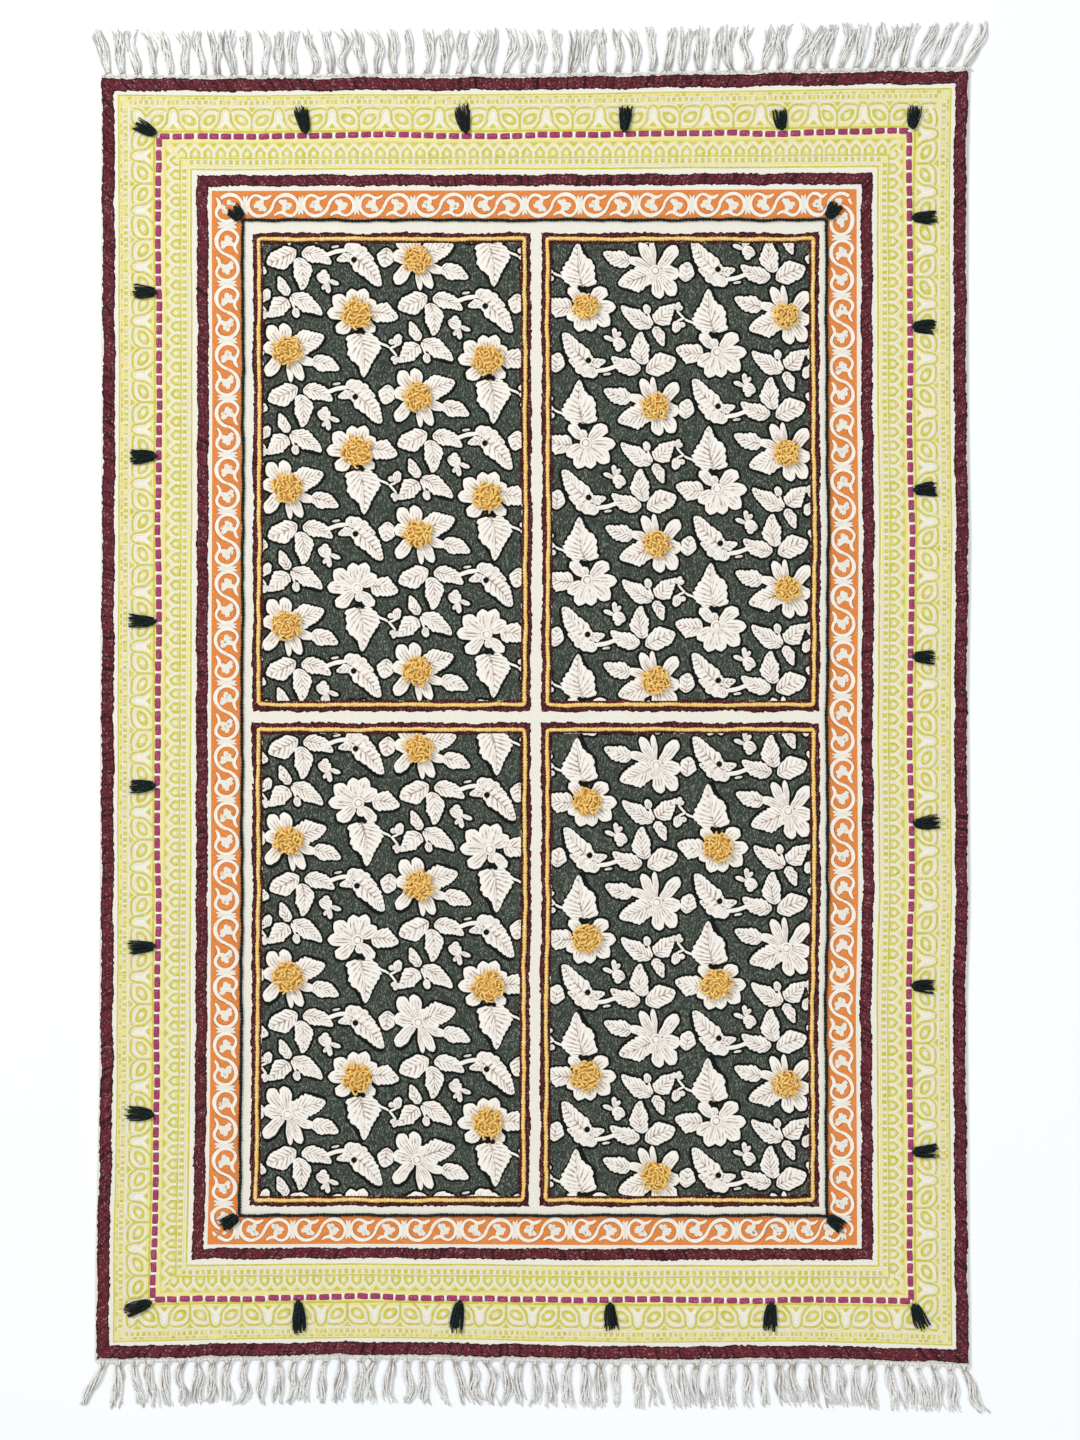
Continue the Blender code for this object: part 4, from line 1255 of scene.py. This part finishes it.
def make_panel_lines(colours, sizes):
    """The maroon strip round each panel, in two rows of stitches, under its yellow cord."""
    height = 0.8 * sizes.band_height / MM
    finish = maroon_yarn("dark maroon stitched yarn", colours.maroon_thin,
                         mid(colours.maroon_thin, BLACK, 0.6), colours)
    for seed, (name, side_u, side_v, *_) in enumerate(PANELS, start=SEEDS["strips"]):
        middle, half_u, half_v = panel_box(side_u, side_v)
        # the tone mark paints shade between the rows and stitches and at the strip's edges
        points, faces, tone = stitched_band(half_u, half_v, PANEL_LINE, 2, height, seed, middle, tooth=1.2)
        piece = make_piece(f"panel_lines_{name}", points.reshape(-1, 3), faces, [finish], mark=tone)


def cord_radius(node):
    """Radius in mm of a cord in the frame: half of its height."""
    low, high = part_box(node)
    return 0.5 / MM * (high[2] - low[2])


def make_panel_cords(colours):
    """The yellow cord couched round each panel."""
    # painted shade on the cord's lower sides, full yellow along its top, and pale flecks of painted
    # highlight
    finish = yarn_finish("yellow couched yarn", colours.amber, mid(colours.amber, colours.gold_shade, 0.55),
                         mid(colours.amber, colours.white, 0.5), 4.6, low=CLOTH_TOP - 0.4,
                         high=CLOTH_TOP + 2.6, glints=0.55)
    for number, (_, side_u, side_v, *_) in enumerate(PANELS, start=1):
        middle, half_u, half_v = panel_box(side_u, side_v)
        node = f"yellow_cord_{number}"
        points, faces = couched_cord(half_u, half_v, PANEL_CORD, 1.1 * cord_radius(node), YELLOW_PITCH,
                                     YELLOW_STEP, SEEDS["yellow cords"] + number, middle)
        piece = make_piece(f"panel_cord_{number}", points, faces, [finish])
        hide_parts(node)


def make_green_cord(colours):
    """The dark green cord couched round the four panels."""
    points, faces = couched_cord(HALF_U, HALF_V, GREEN_CORD, 1.12 * cord_radius("green_cord"),
                                 GREEN_PITCH, GREEN_STEP, SEEDS["green cord"])
    piece = make_piece("round_cord", points, faces, [forest_yarn(colours)])
    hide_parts("green_cord")


def make_running_stitch(colours, sizes):
    """Magenta running stitches round the printed border, with a white picot in each gap.

    A stitch is a pad: half width and height follow sqrt(1 - s**12) along it, with three plies
    across it.
    """
    length, gap, width = (size / MM for size in (sizes.stitch_length, sizes.stitch_gap, sizes.stitch_width))
    random = np.random.default_rng(SEEDS["stitches"])
    stations = np.sin(np.linspace(-1, 1, 7) * math.pi / 2)
    t = np.linspace(-1, 1, 6)
    plies = (1 - np.abs(t) ** 2.4) * (0.86 + 0.14 * np.cos(3 * math.pi * t))
    stitches, picots = [], []
    for side in range(4):
        reach = (HALF_U, HALF_V)[side % 2] - RUNNING_STITCH
        count = round(2 * reach / (length + gap))
        step = 2 * reach / count
        middles = -reach + step * (np.arange(count) + 0.5) + random.normal(0, 0.5, count)
        inset = RUNNING_STITCH + 1.1 * drift(middles, SEEDS["stitch rows"] + side, 60.0)
        inset = inset + random.normal(0, 0.25, count)
        tilt = random.normal(0, 0.035, count)
        long_sides = (step - gap) * random.uniform(0.97, 1.05, count)
        for kept, s, centre, long_side, wide, tall in (
                (stitches, stations, middles, long_sides, width, 1.7),
                (picots, stations[::2], middles - step / 2, np.full(count, gap + 1.0), 0.96 * width, 2.0)):
            body = (1 - np.abs(s) ** 12).clip(0, 1) ** 0.5
            along = centre[:, None, None] + 0.5 * long_side[:, None, None] * s[:, None]
            across = 0.5 * wide * body[:, None] * t
            along = np.broadcast_to(along, (count, len(s), 6)) - across * tilt[:, None, None]
            place = inset[:, None, None] + across + tilt[:, None, None] * 0.5 * length * s[:, None]
            lift = np.broadcast_to(tall * body[:, None] * plies + 0.02, along.shape)
            u, v = round_point(np.array(side), along, place, HALF_U, HALF_V, scaled=False)
            flat = np.stack((u, v, lift), axis=-1)
            kept.append((flat, batch_faces(count, len(s), 6), 0.0))
    # painted shade at the low ends and edges of each stitch, and pale flecks of painted glint
    magenta = yarn_finish("magenta yarn", colours.magenta, mid(colours.magenta, BLACK, 0.4),
                          mid(colours.magenta, colours.white, 0.3), 2.8, low=CLOTH_TOP,
                          high=CLOTH_TOP + 1.15)
    white = yarn_finish("white sewing yarn", (0.99, 0.99, 0.99), colours.white, (1.0, 1.0, 1.0), 2.0)
    for name, kept, finish in (("running_stitches", stitches, magenta), ("picot_stitches", picots, white)):
        flat, faces, _ = gathered(kept)
        faces = turned_up(flat, faces)
        piece = make_piece(name, lay(*flat.T), faces, [finish], weld=True)


def make_tassel(name, node, strands, finish, seed):
    """A lying tassel that fills its form in the frame: a bound head and strands that fan to the skirt.

    Strand k runs x = length s and spreads sideways by its own share of the width, a share that grows
    from about half at the head to whole at the tip.
    """
    corners = points_of(bpy.data.objects[node].data)
    head, skirt, reach_side = tassel_axis(corners)
    ahead = skirt - head
    length = np.linalg.norm(ahead)
    ahead /= length
    aside = np.array((-ahead[1], ahead[0], 0.0))
    base = corners[:, 2].min()
    random = np.random.default_rng(seed)
    s = np.linspace(0.10, 1.0, 6)

    # the strands, from under the binding to their tips
    share = np.linspace(-1, 1, strands) + random.normal(0, 0.10, strands)
    layer = random.uniform(0.15, 1.0, strands)
    tip = random.uniform(0.80, 1.08, strands)
    fan = np.interp(s, (0.1, 0.28, 0.6, 1.0), (0.52, 0.72, 0.94, 1.0))
    dome = np.sqrt((1 - 0.7 * share ** 2).clip(0.1, 1))[:, None]
    side_way = share[:, None] * fan * reach_side
    side_way = side_way + MM * random.normal(0, 0.5, (strands, 1)) * s ** 2
    side_way += MM * 0.6 * np.sin(5 * s + random.uniform(0, ANY_PHASE, (strands, 1)))
    thick = np.interp(s, (0.1, 0.28, 0.6, 1.0), (4.2, 4.4, 5.6, 3.4))
    up = MM * thick * layer[:, None] * dome + MM * 1.0
    forward = length * (s * (1 + (tip[:, None] - 1) * s))
    paths = head + forward[..., None] * ahead + side_way[..., None] * aside
    paths[..., 2] = base + up
    radii = MM * random.uniform(0.85, 1.2, strands)[:, None, None] * np.linspace(1.0, 0.75, 6)[:, None]
    parts = [(*tubes(paths, radii, 4), 0.0)]

    # three turns of binding, and the folded head that they hold
    turns = np.linspace(0, 6 * math.pi, 31)
    bind = head + (length * (0.16 + 0.10 * turns / turns[-1]))[:, None] * ahead
    bind = bind + (MM * 3.4 * np.cos(turns))[:, None] * aside
    bind[:, 2] = base + MM * (3.7 + 3.4 * np.sin(turns))
    parts.append((*tubes(bind[None], MM * 0.8, 4, up=ahead), 0.0))
    knob = np.linspace(0, math.pi, 7)
    knob_path = head + (length * (0.09 - 0.10 * np.cos(knob)))[:, None] * ahead
    knob_path[:, 2] = base + MM * 3.8
    knob_radii = MM * 3.9 * np.sin(knob).clip(0.1, 1)
    parts.append((*tubes(knob_path[None], knob_radii[None, :, None], 8), 0.0))
    points, faces, _ = gathered(parts)
    piece = make_piece(name, points, faces, [finish], weld=True)
    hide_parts(node)


def tassel_axis(corners):
    """Head, middle of the skirt and half width of a tassel's form: its long axis, wide end last."""
    middle = corners.mean(axis=0)
    flat = corners - middle
    flat[:, 2] = 0.0
    axis = np.linalg.svd(flat, full_matrices=False)[2][0]
    along = flat @ axis
    aside = flat @ np.array((-axis[1], axis[0], 0.0))
    spread_high = np.ptp(aside[along > along.max() - 0.002])
    spread_low = np.ptp(aside[along < along.min() + 0.002])
    if spread_high < spread_low:
        axis, along = -axis, -along
    middle[2] = 0.0
    return middle + axis * along.min(), middle + axis * along.max(), max(spread_high, spread_low) / 2


def make_tassels(colours, sizes):
    """Every tassel of the frame gets its yarn."""
    finish = forest_yarn(colours)
    nodes = sorted(name for name in frame["nodes"] if name.startswith("tassel_"))
    for seed, node in enumerate(nodes, start=SEEDS["tassels"]):
        make_tassel(f"yarn_{node}", node, sizes.tassel_strands, finish, seed)


def make_fringe(end, sizes, finish):
    """Bunches of warp ends: strands gather from the hem into a knot, then twist and fan to the tips.

    Along a strand s goes from 0 at the hem to 1 at the tip, and past from 0 at the knot to 1. Strand
    k of a bunch turns about its plait: aside = r cos(w s + k), up = r sin(w s + k).
    """
    name, lean_table, knot_at = ("top", TOP_LEAN, 0.07) if end > 0 else ("bottom", BOTTOM_LEAN, 0.12)
    random = np.random.default_rng(SEEDS["fringes"] + end)
    strands = sizes.fringe_strands
    bunch, strand = (BUNCHES, 1, 1), (BUNCHES, strands, 1)
    knots = np.linspace(FIRST_BUNCH, LAST_BUNCH, BUNCHES) + random.normal(0, 1.0, BUNCHES)
    lean = wander(lean_table, knots) + random.normal(0, 2.0, BUNCHES)

    # sideways: a web at the hem, the knot, then a fan of twisted, bent and stray strands
    s = np.array((-0.02, 0.02, knot_at, knot_at + 0.05, 0.24, 0.35, 0.47, 0.59, 0.71, 0.83, 0.93, 1.0))
    past = np.clip((s - knot_at) / (1 - knot_at), 0, 1)
    web = np.interp(s, (-0.02, knot_at, knot_at + 0.06), (8.6, 2.6, 2.9))
    fan = np.interp(past, (0.0, 0.05, 0.3, 1.0), (0.0, 0.3, 1.9, 3.8)) * random.uniform(0.5, 1.35, bunch)
    share = np.linspace(-1, 1, strands) + random.normal(0, 0.16, (BUNCHES, strands))
    plait = 2 * math.pi * (np.arange(strands) % 3) / 3 + random.uniform(0, ANY_PHASE, (BUNCHES, 1))
    turn_rate = random.uniform(5.0, 9.0, bunch) * random.choice((-1, 1), bunch)
    phase = plait[..., None] + turn_rate * past + random.normal(0, 0.3, strand)
    twist = 2.0 * np.sin(math.pi * past.clip(0, 0.6) / 1.2) * np.cos(phase)
    wave = np.sin(past * random.uniform(6, 13, strand) + random.uniform(0, ANY_PHASE, strand))
    bow = random.normal(0, 3.0, bunch) * np.sin(math.pi * past)
    bow = bow + random.normal(0, 1.8, bunch) * np.sin(2.1 * math.pi * past)
    stray = random.standard_t(2, strand).clip(-5, 5) * past ** 3 * 1.3
    aside = lean[:, None, None] * past ** 1.2 + bow + share[..., None] * (web + fan) + twist
    aside = aside + 0.9 * wave * past + stray

    # outwards from the hem, and the height above the floor
    length = BUNCH_LENGTH * random.uniform(0.86, 1.03, strand)
    start = HALF_V + SELVEDGE + 0.5
    knot_depth = knot_at * BUNCH_LENGTH
    hanging = knot_depth + (length + HEADER_DEPTH - knot_depth) * past
    depth = start + np.where(s > knot_at, hanging, BUNCH_LENGTH * s)
    station = np.broadcast_to(knots[:, None, None], depth.shape)
    x = bend(knots, np.full(BUNCHES, end * start))[0][:, None, None] + aside
    y = bend(station, end * depth)[1]
    height = np.interp(s, (-0.02, knot_at, 0.3, 1.0), (3.2, 2.7, 2.6, 1.5))
    height = height + 0.9 * np.sin(phase) * np.sin(math.pi * past)
    height = height + random.uniform(-0.4, 0.9, strand) * (past > 0)
    paths = MM * np.stack((x + SHIFT_U, y + SHIFT_V, np.maximum(height, 1.0)), axis=-1)

    # thickness and tone: the tone is painted shade, darker from the hem into the knot and on
    # strands that the plait turns under, with a random part
    taper = np.interp(s, (0, knot_at, 0.2, 0.85, 1), (0.8, 0.9, 1.1, 0.95, 0.5))
    radii = random.uniform(1.0, 1.45, strand) * taper
    tone = np.interp(s, (0.0, knot_at, knot_at + 0.05, 0.22, 1.0), (1.0, 0.4, 0.35, 0.68, 0.78))
    tone = tone + 0.34 * np.sin(phase) + random.normal(0, 0.18, strand)
    count = BUNCHES * strands
    points, faces = tubes(paths.reshape(count, len(s), 3), MM * radii.reshape(count, len(s), 1), 5)
    tone = np.pad(tone.reshape(count, len(s)), ((0, 0), (1, 1)), mode="edge")
    parts = [(points, faces, np.repeat(tone, 5, axis=1))]

    # the strand that wraps each knot, then the two twined cords along the hem
    turn = np.linspace(-1, 1, 6)
    wrap_x = x[:, :, 2].mean(axis=1)[:, None] + 3.0 * turn
    wrap_y = y[:, :1, 2] + end * 0.9 * turn * random.choice((-1, 1), (BUNCHES, 1))
    wrap = MM * np.stack((wrap_x + SHIFT_U, wrap_y + SHIFT_V, np.full_like(wrap_x, 3.4)), axis=-1)
    wrap_radii = np.broadcast_to(MM * 1.15 * np.sqrt(1 - 0.7 * turn ** 2), (BUNCHES, 6))
    # the wrap's low mark paints shade in the knot
    parts.append((*tubes(wrap, wrap_radii[..., None], 7), 0.12))
    u = np.linspace(-HALF_U - 1, HALF_U + 1, 420)
    for row, out in enumerate(HEADER_CORDS):
        place = end * (HALF_V + SELVEDGE + out) + 0.35 * drift(u, SEEDS["hems"] + row, 6.0)
        hem_x, hem_y = bend(u, place)
        hem = MM * np.stack((hem_x + SHIFT_U, hem_y + SHIFT_V, np.full_like(u, 2.0)), axis=-1)
        beads = 1 + 0.25 * np.sin(u * 2 * math.pi / 5.8 + row)
        parts.append((*tubes(hem[None], (MM * beads)[None, :, None], 6), 1.0))
    points, faces, mark = gathered(parts)
    piece = make_piece(f"warp_fringe_{name}", points, faces, [finish], mark=mark)
    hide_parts(f"fringe_{name}")


def make_fringes(colours, sizes):
    """The fringes of both ends, in one yarn."""
    # painted shade: the warp shade where the mark is low; the pale flecks are painted glints
    finish = yarn_finish("undyed warp yarn", colours.warp, mid(colours.warp, colours.warp_shade, 0.45),
                         mid(colours.warp, (1, 1, 1), 0.5), 2.6, deep=colours.warp_shade)
    for end in (1, -1):
        make_fringe(end, sizes, finish)


def make_stage(colours):
    """Plain pale floor, a soft key from the upper left, even fill, and the camera straight above.

    The floor is matt paint: even and without gloss, a little cooler in broad patches.
    """
    scene = bpy.context.scene
    corners = [(x * FLOOR_REACH, y * FLOOR_REACH, 0) for x, y in ((-1, -1), (1, -1), (1, 1), (-1, 1))]
    mesh = bpy.data.meshes.new("floor")
    mesh.from_pydata(corners, [], [(0, 1, 2, 3)])
    finish, tree, shader, vector = start_finish("pale matt paint", PAINT_ROUGHNESS, 0.0)
    patches = mottle(tree, vector, FLOOR_PATCH, 0.3, 0.7)
    cooler = mid(colours.floor, (0.85, 0.93, 1.0), 0.25)
    tone = add_node(tree, "ShaderNodeMixRGB", {"Fac": patches, "Color1": cooler, "Color2": colours.floor})
    tree.links.new(tone, shader.inputs["Base Color"])
    mesh.materials.append(finish)
    floor = bpy.data.objects.new("floor", mesh)
    scene.collection.objects.link(floor)

    world = bpy.data.worlds.new("soft_sky")
    scene.world = world
    world.use_nodes = True
    sky = world.node_tree.nodes["Background"]
    sky.inputs["Color"].default_value = SKY_COLOUR
    sky.inputs["Strength"].default_value = SKY_STRENGTH

    for name, place, width, watts, tint in LAMPS:
        lamp = bpy.data.lights.new(name, "AREA")
        lamp.size = width
        lamp.energy = watts
        lamp.color = tint
        light = bpy.data.objects.new(name, lamp)
        light.location = place
        light.rotation_euler = (-Vector(place)).to_track_quat("-Z", "Y").to_euler()
        scene.collection.objects.link(light)

    camera = bpy.data.cameras.new("camera")
    camera.lens = LENS
    camera.sensor_width = SENSOR
    eye = bpy.data.objects.new("camera", camera)
    eye.location = (*VIEW_MIDDLE, VIEW_HEIGHT * camera.lens / camera.sensor_width)
    scene.collection.objects.link(eye)
    scene.camera = eye
    scene.view_settings.view_transform = "Standard"
    scene.view_settings.look = "None"


# ---------------------------------------------------------------- operators and panel

class RUG_OT_cloth(bpy.types.Operator):
    """Lay the woven cotton sheet with its dyed grounds"""
    bl_idname = "rug.cloth"
    bl_label = "Woven cloth"
    bl_options = {"REGISTER", "UNDO"}

    def execute(self, context):
        make_cloth(context.scene.rug_colours, context.scene.rug_sizes)
        return {"FINISHED"}


class RUG_OT_bands(bpy.types.Operator):
    """Stitch the outer and inner maroon bands"""
    bl_idname = "rug.bands"
    bl_label = "Maroon bands"
    bl_options = {"REGISTER", "UNDO"}

    def execute(self, context):
        make_bands(context.scene.rug_colours, context.scene.rug_sizes)
        return {"FINISHED"}


class RUG_OT_prints(bpy.types.Operator):
    """Print the lime lattice and the white scroll"""
    bl_idname = "rug.prints"
    bl_label = "Printed borders"
    bl_options = {"REGISTER", "UNDO"}

    def execute(self, context):
        scene = context.scene
        make_lime_print(scene.rug_colours)
        make_scroll(scene.rug_colours)
        return {"FINISHED"}


class RUG_OT_embroidery(bpy.types.Operator):
    """Embroider the floral field of each panel"""
    bl_idname = "rug.embroidery"
    bl_label = "Embroidered panels"
    bl_options = {"REGISTER", "UNDO"}

    def execute(self, context):
        make_embroidery(context.scene.rug_colours)
        return {"FINISHED"}


class RUG_OT_tufts(bpy.types.Operator):
    """Loop the golden tufts into the flowers"""
    bl_idname = "rug.tufts"
    bl_label = "Looped tufts"
    bl_options = {"REGISTER", "UNDO"}

    def execute(self, context):
        make_tufts(context.scene.rug_colours, context.scene.rug_sizes)
        return {"FINISHED"}


class RUG_OT_panel_lines(bpy.types.Operator):
    """Edge each panel with a stitched maroon strip"""
    bl_idname = "rug.panel_lines"
    bl_label = "Panel strips"
    bl_options = {"REGISTER", "UNDO"}

    def execute(self, context):
        make_panel_lines(context.scene.rug_colours, context.scene.rug_sizes)
        return {"FINISHED"}


class RUG_OT_panel_cords(bpy.types.Operator):
    """Couch a yellow cord on the strip round each panel"""
    bl_idname = "rug.panel_cords"
    bl_label = "Yellow cords"
    bl_options = {"REGISTER", "UNDO"}

    def execute(self, context):
        make_panel_cords(context.scene.rug_colours)
        return {"FINISHED"}


class RUG_OT_round_cord(bpy.types.Operator):
    """Couch the dark green cord round the four panels"""
    bl_idname = "rug.round_cord"
    bl_label = "Green cord"
    bl_options = {"REGISTER", "UNDO"}

    def execute(self, context):
        make_green_cord(context.scene.rug_colours)
        return {"FINISHED"}


class RUG_OT_running_stitch(bpy.types.Operator):
    """Sew the magenta running stitch"""
    bl_idname = "rug.running_stitch"
    bl_label = "Running stitch"
    bl_options = {"REGISTER", "UNDO"}

    def execute(self, context):
        make_running_stitch(context.scene.rug_colours, context.scene.rug_sizes)
        return {"FINISHED"}


class RUG_OT_tassels(bpy.types.Operator):
    """Tie on the dark green tassels"""
    bl_idname = "rug.tassels"
    bl_label = "Tassels"
    bl_options = {"REGISTER", "UNDO"}

    def execute(self, context):
        make_tassels(context.scene.rug_colours, context.scene.rug_sizes)
        return {"FINISHED"}


class RUG_OT_fringes(bpy.types.Operator):
    """Knot the warp fringe at both ends"""
    bl_idname = "rug.fringes"
    bl_label = "Fringes"
    bl_options = {"REGISTER", "UNDO"}

    def execute(self, context):
        make_fringes(context.scene.rug_colours, context.scene.rug_sizes)
        return {"FINISHED"}


class RUG_OT_stage(bpy.types.Operator):
    """Set the floor, the lights and the camera"""
    bl_idname = "rug.stage"
    bl_label = "Stage"
    bl_options = {"REGISTER", "UNDO"}

    def execute(self, context):
        make_stage(context.scene.rug_colours)
        return {"FINISHED"}


STEPS = (RUG_OT_stage, RUG_OT_cloth, RUG_OT_bands, RUG_OT_prints, RUG_OT_embroidery, RUG_OT_tufts,
         RUG_OT_panel_lines, RUG_OT_panel_cords, RUG_OT_round_cord, RUG_OT_running_stitch,
         RUG_OT_tassels, RUG_OT_fringes)


class RUG_PT_panel(bpy.types.Panel):
    """Sizes, colours and steps of the rug"""
    bl_idname = "RUG_PT_panel"
    bl_label = "Dhurrie rug"
    bl_space_type = "VIEW_3D"
    bl_region_type = "UI"
    bl_category = "Rug"

    def draw(self, context):
        layout = self.layout
        for step in STEPS:
            layout.operator(step.bl_idname)
        for group in (context.scene.rug_sizes, context.scene.rug_colours):
            column = layout.column()
            for name in group.bl_rna.properties.keys()[2:]:     # the first two are Blender's own
                column.prop(group, name)


CLASSES = (RugColours, RugSizes, *STEPS, RUG_PT_panel)


def register():
    """Register the classes and give every scene its sizes and colours."""
    for made in CLASSES:
        bpy.utils.register_class(made)
    bpy.types.Scene.rug_colours = PointerProperty(type=RugColours)
    bpy.types.Scene.rug_sizes = PointerProperty(type=RugSizes)


def unregister():
    """Undo register()."""
    del bpy.types.Scene.rug_sizes
    del bpy.types.Scene.rug_colours
    for made in reversed(CLASSES):
        bpy.utils.unregister_class(made)


def main():
    """Make the stage and every piece."""
    register()
    bpy.ops.rug.stage()
    bpy.ops.rug.cloth()
    bpy.ops.rug.bands()
    bpy.ops.rug.prints()
    bpy.ops.rug.embroidery()
    bpy.ops.rug.tufts()
    bpy.ops.rug.panel_lines()
    bpy.ops.rug.panel_cords()
    bpy.ops.rug.round_cord()
    bpy.ops.rug.running_stitch()
    bpy.ops.rug.tassels()
    bpy.ops.rug.fringes()


if __name__ == "__main__":
    main()
